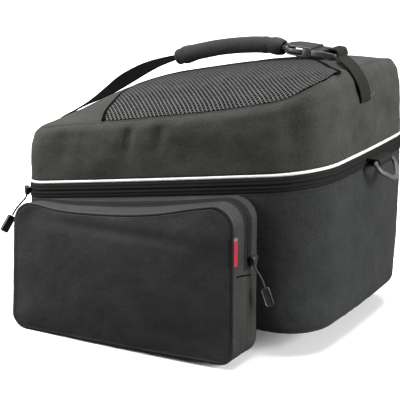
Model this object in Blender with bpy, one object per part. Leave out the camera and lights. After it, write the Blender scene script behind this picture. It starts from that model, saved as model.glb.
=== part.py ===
"""Bicycle trunk bag: a padded tub under a zipped, domed lid, with a side pocket and a carrying strap.

+X points to the rear end, -Y to the pocket side, +Z up. The origin lies on the underside of the
carrier plate, the bag's footing, below the middle of the tub. All lengths are in metres.
"""

import math
from collections import namedtuple

import bmesh
import bpy
import numpy as np
from mathutils import Vector

CLEARANCE = 0.0003

# Carrier plate under the tub
PLATE_LENGTH = 0.230
PLATE_WIDTH = 0.104
PLATE_HEIGHT = 0.0237
PLATE_BEVEL = 0.004

# Tub
BODY_LENGTH = 0.360
BODY_WIDTH = 0.260
END_BOW = 0.0043
SIDE_BOW = 0.0047
REAR_CORNER_RADIUS = 0.050
FRONT_CORNER_RADIUS = 0.0355
BODY_WALL = 0.004
BODY_FRONT_HEIGHT = 0.1227
BODY_TAPER = 0.0020
BOTTOM_ROUND = 0.010
ZIP_LINE_RISE = 0.0530

# Main zip, hinge strip and piping
PIPING_DIAMETER = 0.0046
ZIP_HEIGHT = 0.0146
ZIP_THICKNESS = 0.0020
COIL_HEIGHT = 0.0055
COIL_THICKNESS = 0.0012
HINGE_END_GAP = 0.0095
HINGE_WIDTH = BODY_WIDTH - 2 * (FRONT_CORNER_RADIUS + HINGE_END_GAP)

# Lid
LID_WALL = 0.003
LID_FRONT_HEIGHT = 0.0633
LID_REAR_GAIN = 0.0200
LID_LEAN = 0.0120
LID_CROWN = 0.0330
CROWN_POWER = 2.2

# Mesh net on the pocket side of the lid's top, and its elastic edging
MESH_THICKNESS = 0.0012
MESH_LIFT = 0.0009
MESH_FAR_Y = -0.0215
MESH_BORDER = 0.0035
BINDING_WIDTH = 0.0045
BINDING_THICKNESS = 0.0016

# Side pocket
POCKET_CENTRE_X = -0.0140
POCKET_WIDTH = 0.264
POCKET_DEPTH = 0.050
POCKET_WALL = 0.0020
POCKET_BACK_GAP = 0.0006
POCKET_BOTTOM = 0.0008
POCKET_BOTTOM_RISE = 0.0050
POCKET_TOP_RADIUS = 0.022
POCKET_BOTTOM_RADIUS = 0.016
POCKET_BULGE = 0.0060
POCKET_FLARE = 0.0090
POCKET_SAG = 0.0063
POCKET_BACK_STRIP = 0.0135
POCKET_ZIP_WIDTH = 0.0070
POCKET_COIL_WIDTH = 0.0030
POCKET_ZIP_END_Z = 0.100
TAG_HEIGHT = 0.029
TAG_REACH = 0.0075
TAG_THICKNESS = 0.0012
TAG_CENTRE_Z = 0.1250
TAG_PROUD = 0.3

# Carrying strap, grip and buckle
STRAP_Y = 0.0020
WEBBING_WIDTH = 0.025
WEBBING_THICKNESS = 0.0018
ANCHOR_LOW_RISE = 0.30
ANCHOR_HIGH_RISE = 0.49
REAR_ANCHOR_LOW_RISE = 0.645
REAR_ANCHOR_HIGH_RISE = 0.700
GRIP_DIAMETER = 0.0186
GRIP_END_ROUND = 0.0020
STUB_WIDTH = 0.0130
STUB_THICKNESS = 0.0040
BUCKLE_WIDTH = 0.0340
BUCKLE_THICKNESS = 0.0110
BUCKLE_BEVEL = 0.0022
PRONG_BEVEL = 0.0010
SOCKET_LENGTH = 0.0330
SOCKET_WALL = 0.0022
PRONG_LENGTH = 0.0250
PRONG_TONGUE = 0.0120
PRONG_SLOT_LENGTH = 0.0050
PRONG_SLOT_WIDTH = 0.0262
PRONG_BAR = 0.0032
PRONG_SHARE = 0.80
GRIP_END_SHARE = 0.4450
STUB_LENGTH = 0.0069
BUCKLE_START_X = GRIP_END_SHARE * BODY_LENGTH / 2 + STUB_LENGTH
BUCKLE_Z = 0.2975

# Ring tabs and rings for a shoulder strap
TAB_WIDTH = 0.036
TAB_THICKNESS = 0.0015
TAB_REACH = 0.0125
RING_WIRE = 0.0044
RING_WIDTH = 0.0490
RING_LENGTH = 0.0270
RING_HANG_DEG = 39.0
RING_RUNNING_GAP = 0.0004

# Sliders, pull cords and pull tabs
SLIDER_LENGTH = 0.012
SLIDER_WIDTH = 0.009
SLIDER_DEPTH = 0.0068
SLIDER_BEVEL = 0.0012
EYE_DIAMETER = 0.0030
CORD_DIAMETER = 0.0024
PULL_LENGTH = 0.0200
PULL_WIDTH = 0.0088
PULL_THICKNESS = 0.0046

# Mesh fineness
CORNER_STEPS = 5
SIDE_STEPS = 8
END_STEPS = 5
POCKET_SIDE_STEPS = 3
POCKET_TOP_STEPS = 10
POCKET_BOTTOM_STEPS = 6
MESH_COLUMNS = 15
MESH_ROWS = 13
GRIP_SIDES = 12

# Heights worked out from the sizes above
BODY_BOTTOM = PLATE_HEIGHT + CLEARANCE
PIPING_RADIUS = PIPING_DIAMETER / 2
PIPING_HALF = PIPING_RADIUS + CLEARANCE
ZIP_TOP_DROP = PIPING_HALF
ZIP_BOTTOM_DROP = PIPING_HALF + ZIP_HEIGHT
BODY_TOP_DROP = ZIP_BOTTOM_DROP + CLEARANCE

# Lid wall and crown along the length: along is 0 at the front end and 1 at the rear end,
# gain is a share of LID_REAR_GAIN and crown a share of LID_CROWN
LidSection = namedtuple("LidSection", "along gain crown")
LID_SECTIONS = (
    LidSection(0.00, -0.42, 0.05),
    LidSection(0.09, -0.17, 0.32),
    LidSection(0.18, -0.08, 0.63),
    LidSection(0.35, -0.06, 1.00),
    LidSection(0.50, 0.03, 1.08),
    LidSection(0.65, 0.12, 1.11),
    LidSection(0.80, 0.31, 0.97),
    LidSection(0.92, 0.60, 0.63),
    LidSection(1.00, 1.00, 0.16),
)

# Lid wall from the piping up to its top seam: rise is a share of the wall's height there,
# lean a share of LID_LEAN
WallSection = namedtuple("WallSection", "rise lean")
LID_WALL_SECTIONS = (
    WallSection(0.00, 0.00),
    WallSection(0.45, 0.10),
    WallSection(0.75, 0.28),
    WallSection(0.92, 0.58),
    WallSection(1.00, 1.00),
)

# Edges of the mesh net: across is 0 at the pocket side and 1 at MESH_FAR_Y, front and rear are
# shares of half the tub's length
MeshEdge = namedtuple("MeshEdge", "across front rear")
MESH_EDGES = (
    MeshEdge(0.00, -0.394, 1.000),
    MeshEdge(0.15, -0.426, 1.000),
    MeshEdge(0.38, -0.442, 1.000),
    MeshEdge(0.57, -0.459, 0.965),
    MeshEdge(0.72, -0.444, 0.850),
    MeshEdge(0.87, -0.390, 0.760),
    MeshEdge(0.96, -0.290, 0.680),
    MeshEdge(1.00, -0.200, 0.580),
)

ROOF_SCALES = (0.96, 0.89, 0.79, 0.67, 0.53, 0.37, 0.19)

# Top front seam of the pocket against its back seam: along is 0 at the front-end side,
# drop a share of POCKET_SAG
SagSection = namedtuple("SagSection", "along drop")
POCKET_SAGS = (
    SagSection(0.00, -1.10),
    SagSection(0.09, -1.00),
    SagSection(0.20, 0.00),
    SagSection(0.42, 0.90),
    SagSection(0.66, 1.00),
    SagSection(0.87, 0.15),
    SagSection(1.00, -0.10),
)

# Carrying strap's free stretches: along is a share of half the tub's length, height is measured
# up from the zip line there, as a share of LID_FRONT_HEIGHT
StrapPoint = namedtuple("StrapPoint", "along height")
FRONT_STRAP = (
    StrapPoint(-1.0600, 0.545),
    StrapPoint(-1.1400, 0.625),
    StrapPoint(-1.1450, 0.780),
    StrapPoint(-1.0300, 0.985),
    StrapPoint(-0.8450, 1.240),
    StrapPoint(-0.6950, 1.440),
    StrapPoint(-0.5450, 1.610),
    StrapPoint(-0.4100, 1.720),
    StrapPoint(-0.2920, 1.785),
)
GRIP_LINE = (
    StrapPoint(-0.2890, 1.785),
    StrapPoint(-0.1220, 1.865),
    StrapPoint(0.0500, 1.905),
    StrapPoint(0.2200, 1.900),
    StrapPoint(0.3550, 1.862),
    StrapPoint(GRIP_END_SHARE, 1.800),
)

# Rear strap: over the roof, then down the end wall. behind is a share of the way from the prong's
# end to the rear end, lift and proud stand off the cloth, sweep is how far the strap swings
# towards the pocket's side
RoofPoint = namedtuple("RoofPoint", "behind lift sweep")
REAR_STRAP_ON_ROOF = (
    RoofPoint(0.1700, 0.0075, 0.0030),
    RoofPoint(0.4035, 0.0040, 0.0070),
    RoofPoint(0.6370, 0.0042, 0.0110),
)
EndPoint = namedtuple("EndPoint", "rise proud sweep")
REAR_STRAP_ON_END = (
    EndPoint(1.0200, 0.0052, 0.0145),
    EndPoint(0.9400, 0.0065, 0.0155),
    EndPoint(0.8500, 0.0060, 0.0130),
    EndPoint(0.7600, 0.0030, 0.0080),
)

# Pull cords' routes, x, y, z in metres from the middle of their sliders' eyes
MAIN_CORD_ROUTE = (
    (0.0, 0.0, 0.0013),
    (0.0, 0.0, -0.0047),
    (-0.0010, -0.0016, -0.0087),
    (-0.0038, -0.0060, -0.0137),
    (-0.0070, -0.0112, -0.0197),
    (-0.0094, -0.0154, -0.0267),
)
POCKET_CORD_ROUTE = (
    (0.0, 0.0, 0.0015),
    (0.0, 0.0, -0.0048),
    (0.0013, 0.0003, -0.0090),
    (0.0045, 0.0012, -0.0140),
    (0.0077, 0.0022, -0.0200),
    (0.0101, 0.0030, -0.0275),
)

Finish = namedtuple("Finish", "name colour roughness metallic")
SHELL_CLOTH = Finish("shell_cloth", (0.050, 0.051, 0.049), 0.80, 0.0)
LID_CLOTH = Finish("lid_cloth", (0.062, 0.063, 0.058), 0.80, 0.0)
MESH_CLOTH = Finish("mesh_cloth", (0.110, 0.110, 0.108), 0.75, 0.0)
PIPING_FILM = Finish("piping_film", (0.780, 0.780, 0.760), 0.45, 0.0)
ZIP_TAPE = Finish("zip_tape", (0.020, 0.020, 0.020), 0.70, 0.0)
WEBBING = Finish("webbing", (0.012, 0.012, 0.012), 0.75, 0.0)
GRIP_CLOTH = Finish("grip_cloth", (0.055, 0.055, 0.055), 0.75, 0.0)
MOULDED_PLASTIC = Finish("moulded_plastic", (0.045, 0.045, 0.047), 0.40, 0.0)
TAG_CLOTH = Finish("tag_cloth", (0.560, 0.060, 0.080), 0.65, 0.0)
PLATE_PLASTIC = Finish("plate_plastic", (0.020, 0.020, 0.022), 0.50, 0.0)


def clear_scene():
    """Removes what the scene starts with."""
    for item in list(bpy.data.objects):
        bpy.data.objects.remove(item, do_unlink=True)


def material_of(finish):
    """The Principled material of a finish, made once."""
    found = bpy.data.materials.get(finish.name)
    if found:
        return found
    material = bpy.data.materials.new(finish.name)
    material.use_nodes = True
    shader = material.node_tree.nodes["Principled BSDF"]
    shader.inputs["Base Color"].default_value = (*finish.colour, 1.0)
    shader.inputs["Roughness"].default_value = finish.roughness
    shader.inputs["Metallic"].default_value = finish.metallic
    return material


def add_object(name, data, finish):
    """Links an object with its finish."""
    item = bpy.data.objects.new(name, data)
    item.data.materials.append(material_of(finish))
    bpy.context.scene.collection.objects.link(item)
    return item


def object_from_bmesh(name, mesh_builder, finish, smooth_deg=35.0):
    """Turns a finished bmesh into an object with outward faces."""
    bmesh.ops.recalc_face_normals(mesh_builder, faces=mesh_builder.faces)
    mesh = bpy.data.meshes.new(name)
    mesh_builder.to_mesh(mesh)
    mesh_builder.free()
    mesh.shade_smooth()
    mesh.set_sharp_from_angle(angle=math.radians(smooth_deg))
    return add_object(name, mesh, finish)


def loft(rings, start_cap="face", end_cap="face", closed=True):
    """Skins rings of equal length. A cap is one face, a fan to a point, or left open."""
    builder = bmesh.new()
    rows = [[builder.verts.new(point) for point in ring] for ring in rings]
    count = len(rows[0])
    last = count if closed else count - 1
    for lower, upper in zip(rows, rows[1:]):
        for i in range(last):
            j = (i + 1) % count
            builder.faces.new((lower[i], lower[j], upper[j], upper[i]))
    for row, cap in ((rows[0], start_cap), (rows[-1], end_cap)):
        if cap == "face":
            builder.faces.new(row)
        elif cap is not None:
            tip = builder.verts.new(cap)
            for i in range(count):
                builder.faces.new((row[i], row[(i + 1) % count], tip))
    return builder


def bar_between(sections):
    """A solid lofted along cross-sections of four corners each, closed at both ends."""
    return loft(sections, "face", "face")


def smooth_value(rows, column, along):
    """Reads a column of a table at any place, on one smooth curve through its rows."""
    xs = np.array([row[0] for row in rows])
    ys = np.array([getattr(row, column) for row in rows])
    slopes = np.gradient(ys, xs)
    place = min(max(along, xs[0]), xs[-1])
    i = int(min(np.searchsorted(xs, place, side="right") - 1, len(xs) - 2))
    step = xs[i + 1] - xs[i]
    t = (place - xs[i]) / step
    first = (2 * t**3 - 3 * t**2 + 1) * ys[i] + (t**3 - 2 * t**2 + t) * step * slopes[i]
    second = (3 * t**2 - 2 * t**3) * ys[i + 1] + (t**3 - t**2) * step * slopes[i + 1]
    return float(first + second)


def smooth_route(points, spacing):
    """Even points on a smooth curve through hand-chosen ones."""
    knots = [Vector(point) for point in points]
    knots = [2 * knots[0] - knots[1], *knots, 2 * knots[-1] - knots[-2]]
    fine = []
    for a, b, c, d in zip(knots, knots[1:], knots[2:], knots[3:]):
        for step in range(20):
            t = step / 20
            fine.append(
                0.5 * (2 * b + (c - a) * t + (2 * a - 5 * b + 4 * c - d) * t**2 + (3 * b - a - 3 * c + d) * t**3)
            )
    fine.append(knots[-2])
    lengths = np.cumsum([0.0] + [(q - p).length for p, q in zip(fine, fine[1:])])
    count = max(3, round(lengths[-1] / spacing) + 1)
    even = np.linspace(0.0, lengths[-1], count)
    coords = np.array([tuple(p) for p in fine])
    return [Vector([np.interp(s, lengths, coords[:, k]) for k in range(3)]) for s in even]


def share_along(x):
    """Where a point lies along the tub: 0 at the front end, 1 at the rear end."""
    return min(max(x / BODY_LENGTH + 0.5, 0.0), 1.0)


def zip_line(x):
    """Height of the piping's middle, which climbs to the rear."""
    return BODY_BOTTOM + BODY_FRONT_HEIGHT + ZIP_LINE_RISE * (x / BODY_LENGTH + 0.5)


def seam_height(x):
    """Height of the lid's top seam."""
    return zip_line(x) + LID_FRONT_HEIGHT + LID_REAR_GAIN * smooth_value(LID_SECTIONS, "gain", share_along(x))


def side_bow(x):
    """How far a long side bows out there."""
    return SIDE_BOW * max(0.0, 1.0 - (2 * x / BODY_LENGTH) ** 2)


def end_bow(y):
    """How far the rear end bows out there."""
    return END_BOW * max(0.0, 1.0 - (2 * y / BODY_WIDTH) ** 2)


def roof_height(x, y):
    """Height of the lid's domed top."""
    half = BODY_WIDTH / 2 - LID_LEAN + side_bow(x)
    across = min(abs(y) / half, 1.0)
    crown = LID_CROWN * smooth_value(LID_SECTIONS, "crown", share_along(x))
    return seam_height(x) + crown * (1.0 - across**CROWN_POWER)


def arc(centre_x, centre_y, radius, start_deg):
    """Points of a quarter turn, anticlockwise."""
    angles = [math.radians(start_deg + 90.0 * i / CORNER_STEPS) for i in range(CORNER_STEPS + 1)]
    return [(centre_x + radius * math.cos(a), centre_y + radius * math.sin(a)) for a in angles]


def between(start, end, steps):
    """Points strictly between two, evenly spaced."""
    return [
        (start[0] + (end[0] - start[0]) * i / steps, start[1] + (end[1] - start[1]) * i / steps)
        for i in range(1, steps)
    ]


def plan_ring(inset):
    """Plan outline drawn in by an inset. It starts beside the hinge and takes the pocket side first."""
    length = BODY_LENGTH / 2 - inset
    width = BODY_WIDTH / 2 - inset
    rear = REAR_CORNER_RADIUS - min(inset, 0.6 * REAR_CORNER_RADIUS)
    front = FRONT_CORNER_RADIUS - min(inset, 0.6 * FRONT_CORNER_RADIUS)
    corners = [
        arc(-length + front, -width + front, front, 180),
        arc(length - rear, -width + rear, rear, 270),
        arc(length - rear, width - rear, rear, 0),
        arc(-length + front, width - front, front, 90),
    ]
    points = [(-length, -HINGE_WIDTH / 2)]
    for i, steps in enumerate((SIDE_STEPS, END_STEPS, SIDE_STEPS)):
        points += corners[i] + between(corners[i][-1], corners[i + 1][0], steps)
    points += corners[3] + [(-length, HINGE_WIDTH / 2), (-length, 0.0)]
    return [bowed(x, y, width) for x, y in points]


def bowed(x, y, width):
    """Moves a plan point out by the bows of the rear end and the long sides."""
    out = end_bow(y * BODY_WIDTH / 2 / width) if x > 0 else 0.0
    return (x + out, y + math.copysign(side_bow(x), y) * min(1.0, abs(y) / width))


def ring_at(inset, height):
    """Plan outline in space, at a height that is a function of x."""
    return [(x, y, height(x)) for x, y in plan_ring(inset)]


def build_plate():
    """Plain plate that clips to a carrier and is the bag's footing."""
    builder = bmesh.new()
    bmesh.ops.create_cube(builder, size=1.0)
    bmesh.ops.scale(builder, vec=(PLATE_LENGTH, PLATE_WIDTH, PLATE_HEIGHT), verts=builder.verts)
    bmesh.ops.translate(builder, vec=(0.0, 0.0, PLATE_HEIGHT / 2), verts=builder.verts)
    plate = object_from_bmesh("carrier_plate", builder, PLATE_PLASTIC)
    bevel = plate.modifiers.new("edges", "BEVEL")
    bevel.width = PLATE_BEVEL
    bevel.segments = 2
    bevel.limit_method = "ANGLE"


def body_top(x):
    """Height of the tub's rim, under the zip."""
    return zip_line(x) - BODY_TOP_DROP


def build_body():
    """Padded tub, open at the top, with a rounded bottom edge."""
    rings = []
    for step in range(4):
        angle = math.radians(30.0 * step)
        inset = BODY_TAPER + BOTTOM_ROUND * (1.0 - math.sin(angle))
        level = BODY_BOTTOM + BOTTOM_ROUND * (1.0 - math.cos(angle))
        rings.append(ring_at(inset, lambda x, level=level: level))
    low = BODY_BOTTOM + BOTTOM_ROUND
    for share in (0.5, 1.0):
        rings.append(ring_at(BODY_TAPER * (1.0 - share), lambda x, s=share: low + s * (body_top(x) - low)))
    floor = BODY_BOTTOM + BODY_WALL
    inner_low = max(low, floor)
    rings.append(ring_at(BODY_WALL, body_top))
    rings.append(ring_at(BODY_WALL + BODY_TAPER, lambda x: inner_low))
    rings.append(ring_at(BODY_WALL + BODY_TAPER + BOTTOM_ROUND - BODY_WALL / 2, lambda x: floor))
    object_from_bmesh("body_shell", loft(rings), SHELL_CLOTH)


def strip_sections(outer, inner, low, high):
    """Four-cornered sections of an upright band between two plan outlines."""
    sections = []
    for (ox, oy), (ix, iy) in zip(outer, inner):
        sections.append([(ox, oy, low(ox)), (ox, oy, high(ox)), (ix, iy, high(ix)), (ix, iy, low(ix))])
    return sections


def trimmed(path, amount):
    """A path with a little taken off both ends."""
    points = [Vector(point) for point in path]
    first = points[0] + (points[1] - points[0]).normalized() * amount
    last = points[-1] + (points[-2] - points[-1]).normalized() * amount
    return [tuple(p) for p in (first, *points[1:-1], last)]


def build_zip_and_hinge():
    """Zip band round three sides, its raised coil, and the cloth hinge across the front end."""
    face = plan_ring(0.0)
    back = plan_ring(ZIP_THICKNESS)
    turn = len(face) - 1

    def low(x):
        return zip_line(x) - ZIP_BOTTOM_DROP

    def high(x):
        return zip_line(x) - ZIP_TOP_DROP

    band = strip_sections(trimmed(face[:turn], CLEARANCE), trimmed(back[:turn], CLEARANCE), low, high)
    object_from_bmesh("zip_band", bar_between(band), ZIP_TAPE)
    hinge = strip_sections(face[turn - 1 :] + face[:1], back[turn - 1 :] + back[:1], low, high)
    object_from_bmesh("lid_hinge", bar_between(hinge), SHELL_CLOTH)

    middle = (ZIP_TOP_DROP + ZIP_BOTTOM_DROP) / 2
    near = plan_ring(-CLEARANCE)[:turn]
    far = plan_ring(-CLEARANCE - COIL_THICKNESS)[:turn]
    coil = strip_sections(
        trimmed(far, CLEARANCE),
        trimmed(near, CLEARANCE),
        lambda x: zip_line(x) - middle - COIL_HEIGHT / 2,
        lambda x: zip_line(x) - middle + COIL_HEIGHT / 2,
    )
    object_from_bmesh("zip_coil", bar_between(coil), ZIP_TAPE)


def build_piping():
    """Round piping in the seam between the lid and the zip, all the way round."""
    centre = plan_ring(PIPING_RADIUS - 0.0008)
    item = tube_object("piping", [(x, y, zip_line(x)) for x, y in centre], PIPING_DIAMETER, PIPING_FILM, 1)
    item.data.splines[0].use_cyclic_u = True


def tube_object(name, points, diameter, finish, fineness=2):
    """Round tube along points, as a bevelled curve with filled ends."""
    curve = bpy.data.curves.new(name, "CURVE")
    curve.dimensions = "3D"
    curve.bevel_depth = diameter / 2
    curve.bevel_resolution = fineness
    curve.use_fill_caps = True
    spline = curve.splines.new("POLY")
    spline.points.add(len(points) - 1)
    for target, point in zip(spline.points, points):
        target.co = (*point, 1.0)
    return add_object(name, curve, finish)


def lid_ring(rise, extra, drop):
    """Ring of the lid's wall at a share of its height, drawn in and lowered for the inner face."""
    lean = LID_LEAN * smooth_value(LID_WALL_SECTIONS, "lean", rise)

    def height(x):
        foot = zip_line(x) + PIPING_HALF
        return foot + rise * (seam_height(x) - foot)

    points = ring_at(lean + extra, height)
    if rise < 1.0:
        return points
    return [(x, y, roof_height(x, y) - drop) for x, y, _ in points]


def roof_rings(extra, drop):
    """Rings of the lid's roof from its seam to its middle, without the seam itself."""
    seam = plan_ring(LID_LEAN + extra)
    rings = []
    for scale in ROOF_SCALES:
        rings.append([(x * scale, y * scale, roof_height(x * scale, y * scale) - drop) for x, y in seam])
    return rings


def build_lid():
    """Domed lid, hollow and open below."""
    outer_walls = [lid_ring(section.rise, 0.0, 0.0) for section in LID_WALL_SECTIONS]
    inner_walls = [lid_ring(section.rise, LID_WALL, LID_WALL) for section in LID_WALL_SECTIONS]
    top = roof_height(0.0, 0.0)
    rings = roof_rings(0.0, 0.0)[::-1] + outer_walls[::-1] + inner_walls + roof_rings(LID_WALL, LID_WALL)
    builder = loft(rings, start_cap=(0.0, 0.0, top), end_cap=(0.0, 0.0, top - LID_WALL))
    object_from_bmesh("lid_shell", builder, LID_CLOTH)


def mesh_half_width():
    """Half the width inside the lid's side seams that the mesh net may cover."""
    return BODY_WIDTH / 2 - LID_LEAN - MESH_BORDER


def mesh_rear(y):
    """Where the mesh net must end, inside the rear seam's rounded corners."""
    radius = REAR_CORNER_RADIUS - LID_LEAN - MESH_BORDER
    start = BODY_LENGTH / 2 - LID_LEAN - MESH_BORDER - radius
    past = max(0.0, abs(y) - (mesh_half_width() - radius))
    return start + math.sqrt(max(0.0, radius**2 - past**2)) + end_bow(y) * 0.5


def mesh_plan():
    """Plan points of the mesh net, in lines from its front edge to its rear one."""
    grid = []
    for i in range(MESH_COLUMNS):
        across = i / (MESH_COLUMNS - 1)
        y = -mesh_half_width() + across * (MESH_FAR_Y + mesh_half_width())
        start = smooth_value(MESH_EDGES, "front", across) * BODY_LENGTH / 2
        end = min(smooth_value(MESH_EDGES, "rear", across) * BODY_LENGTH / 2, mesh_rear(y))
        steps = [j / (MESH_ROWS - 1) for j in range(MESH_ROWS)]
        grid.append([Vector((start + (end - start) * step, y)) for step in steps])
    return grid


def on_roof(place, lift):
    """A plan point set on the roof, at a lift above it."""
    return (place.x, place.y, roof_height(place.x, place.y) + lift)


def build_mesh_panel():
    """Mesh net over the pocket side of the roof, and the edging round its three free edges."""
    columns, rows = MESH_COLUMNS, MESH_ROWS
    plan = mesh_plan()
    builder = bmesh.new()
    verts = []
    for lift in (MESH_LIFT, MESH_LIFT + MESH_THICKNESS):
        verts.append([[builder.verts.new(on_roof(place, lift)) for place in line] for line in plan])
    low, high = verts
    for grid in verts:
        for i in range(columns - 1):
            for j in range(rows - 1):
                builder.faces.new((grid[i][j], grid[i + 1][j], grid[i + 1][j + 1], grid[i][j + 1]))
    edge = [(i, 0) for i in range(columns)] + [(columns - 1, j) for j in range(1, rows)]
    edge += [(i, rows - 1) for i in range(columns - 2, -1, -1)] + [(0, j) for j in range(rows - 2, 0, -1)]
    for (i, j), (k, m) in zip(edge, edge[1:] + edge[:1]):
        builder.faces.new((low[i][j], low[k][m], high[k][m], high[i][j]))
    object_from_bmesh("mesh_panel", builder, MESH_CLOTH)

    free = columns + rows - 1 + columns // 2
    path = [plan[i][j] for i, j in edge[:free]]
    sections = []
    for i, place in enumerate(path):
        ahead = (path[min(i + 1, len(path) - 1)] - path[max(i - 1, 0)]).normalized()
        out = Vector((-ahead.y, ahead.x))
        near = place + out * CLEARANCE * 2
        far = near + out * BINDING_WIDTH
        top = MESH_LIFT + BINDING_THICKNESS
        sections.append([on_roof(far, MESH_LIFT), on_roof(near, MESH_LIFT), on_roof(near, top), on_roof(far, top)])
    object_from_bmesh("mesh_binding", bar_between(sections), ZIP_TAPE)


def pocket_top_back(x):
    """Height of the pocket's back top seam, just under the zip."""
    return zip_line(x) - BODY_TOP_DROP - 3 * CLEARANCE


def pocket_outline(inset, depth_share):
    """Pocket outline in X and Z, from the zip's end at the rear-end side, over the top first."""
    left = POCKET_CENTRE_X - POCKET_WIDTH / 2 + inset
    right = POCKET_CENTRE_X + POCKET_WIDTH / 2 - inset
    top_r = POCKET_TOP_RADIUS - inset
    low_r = POCKET_BOTTOM_RADIUS - inset

    def top(x):
        along = (x - left) / (right - left)
        return pocket_top_back(x) - inset - depth_share * POCKET_SAG * smooth_value(POCKET_SAGS, "drop", along)

    def bottom(x):
        return POCKET_BOTTOM + inset + POCKET_BOTTOM_RISE * (x - left) / (right - left)

    top_right, top_left = top(right - top_r), top(left + top_r)
    low_right, low_left = bottom(right - low_r), bottom(left + low_r)
    split = POCKET_ZIP_END_Z
    points = [(right, split)]
    points += between((right, split), (right, top_right - top_r), POCKET_SIDE_STEPS)
    points += arc(right - top_r, top_right - top_r, top_r, 0)
    for x, _ in between((right - top_r, 0.0), (left + top_r, 0.0), POCKET_TOP_STEPS):
        points.append((x, top(x)))
    points += arc(left + top_r, top_left - top_r, top_r, 90)
    points += between((left, top_left - top_r), (left, split), POCKET_SIDE_STEPS) + [(left, split)]
    points += between((left, split), (left, low_left + low_r), POCKET_SIDE_STEPS)
    points += arc(left + low_r, low_left + low_r, low_r, 180)
    for x, _ in between((left + low_r, 0.0), (right - low_r, 0.0), POCKET_BOTTOM_STEPS):
        points.append((x, bottom(x)))
    points += arc(right - low_r, low_right + low_r, low_r, 270)
    points += between((right, low_right + low_r), (right, split), POCKET_SIDE_STEPS)
    height = top_left
    return [(x - flare(x, z, left, right, height) * depth_share, z) for x, z in points]


def flare(x, z, left, right, height):
    """How far the pocket spreads to the front end, most at its lower corner there."""
    low = min(max(1.0 - z / height, 0.0), 1.0)
    return POCKET_FLARE * low * (right - x) / (right - left)


def pocket_zip_turn():
    """How many outline points the zip's upper run holds."""
    return 2 * POCKET_SIDE_STEPS + 2 * (CORNER_STEPS + 1) + POCKET_TOP_STEPS - 2


def pocket_back_y(x):
    """The pocket's back plane, which follows the tub's bowed side."""
    return -(BODY_WIDTH / 2 + side_bow(x)) - POCKET_BACK_GAP


def pocket_ring(inset, depth):
    """Pocket outline in space at a depth in front of its back."""
    outline = pocket_outline(inset, depth / POCKET_DEPTH)
    return [(x, pocket_back_y(x) - depth, z) for x, z in outline]


def pocket_panel(inset, depth, bulge, scales):
    """Rings of a panel from its edge to its middle, and the middle itself. It follows the tub's side."""
    edge = pocket_ring(inset, depth)
    middle_x, _, middle_z = np.mean(np.array(edge), axis=0)
    rings = []
    for scale in scales:
        push = depth + bulge * (1.0 - scale**2)
        ring = []
        for x, _, z in edge:
            inner_x = middle_x + (x - middle_x) * scale
            ring.append((inner_x, pocket_back_y(inner_x) - push, middle_z + (z - middle_z) * scale))
        rings.append(ring)
    return rings, (middle_x, pocket_back_y(middle_x) - depth - bulge, middle_z)


def build_pocket():
    """Pocket as a back tray, a zip with the gusset below it, and a bulged front."""
    scales = (0.86, 0.62, 0.34)
    strip = POCKET_BACK_STRIP
    wall = POCKET_WALL
    outer_rings, outer_tip = pocket_panel(0.0, 0.0, 0.0, scales)
    inner_rings, inner_tip = pocket_panel(wall, wall, 0.0, scales)
    sides = [pocket_ring(0.0, 0.0), pocket_ring(0.0, strip), pocket_ring(wall, strip), pocket_ring(wall, wall)]
    object_from_bmesh(
        "pocket_back", loft(outer_rings[::-1] + sides + inner_rings, outer_tip, inner_tip), SHELL_CLOTH
    )

    zip_start = strip + CLEARANCE
    zip_end = zip_start + POCKET_ZIP_WIDTH
    turn = pocket_zip_turn()
    sections = []
    for a, b, c, d in zip(
        pocket_ring(0.0, zip_start), pocket_ring(0.0, zip_end), pocket_ring(wall, zip_end), pocket_ring(wall, zip_start)
    ):
        sections.append([a, b, c, d])
    upper = sections[: turn + 1]
    lower = sections[turn:] + sections[:1]
    object_from_bmesh("pocket_zip", bar_between(trim_sections(upper)), ZIP_TAPE)
    object_from_bmesh("pocket_gusset", bar_between(lower), SHELL_CLOTH)

    front_start = zip_end + CLEARANCE
    depth = POCKET_DEPTH
    outer_rings, outer_tip = pocket_panel(0.0, depth, POCKET_BULGE, scales)
    inner_rings, inner_tip = pocket_panel(wall, depth - wall, POCKET_BULGE, scales)
    soft = pocket_ring(wall / 2, depth - wall / 4)
    sides = [
        soft,
        pocket_ring(0.0, depth - wall),
        pocket_ring(0.0, (depth + front_start) / 2),
        pocket_ring(0.0, front_start),
        pocket_ring(wall, front_start),
        pocket_ring(wall, depth - wall),
    ]
    object_from_bmesh(
        "pocket_front", loft(outer_rings[::-1] + sides + inner_rings, outer_tip, inner_tip), SHELL_CLOTH
    )

    coil_start = (zip_start + zip_end - POCKET_COIL_WIDTH) / 2
    coil_end = coil_start + POCKET_COIL_WIDTH
    proud = -CLEARANCE - COIL_THICKNESS
    sections = []
    for a, b, c, d in zip(
        pocket_ring(proud, coil_start),
        pocket_ring(proud, coil_end),
        pocket_ring(-CLEARANCE, coil_end),
        pocket_ring(-CLEARANCE, coil_start),
    ):
        sections.append([a, b, c, d])
    object_from_bmesh("pocket_coil", bar_between(trim_sections(sections[: turn + 1])), ZIP_TAPE)


def trim_sections(sections):
    """Sections with the clearance taken off the first and the last."""
    corners = [trimmed([section[k] for section in sections], CLEARANCE) for k in range(4)]
    return [list(section) for section in zip(*corners)]


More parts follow.
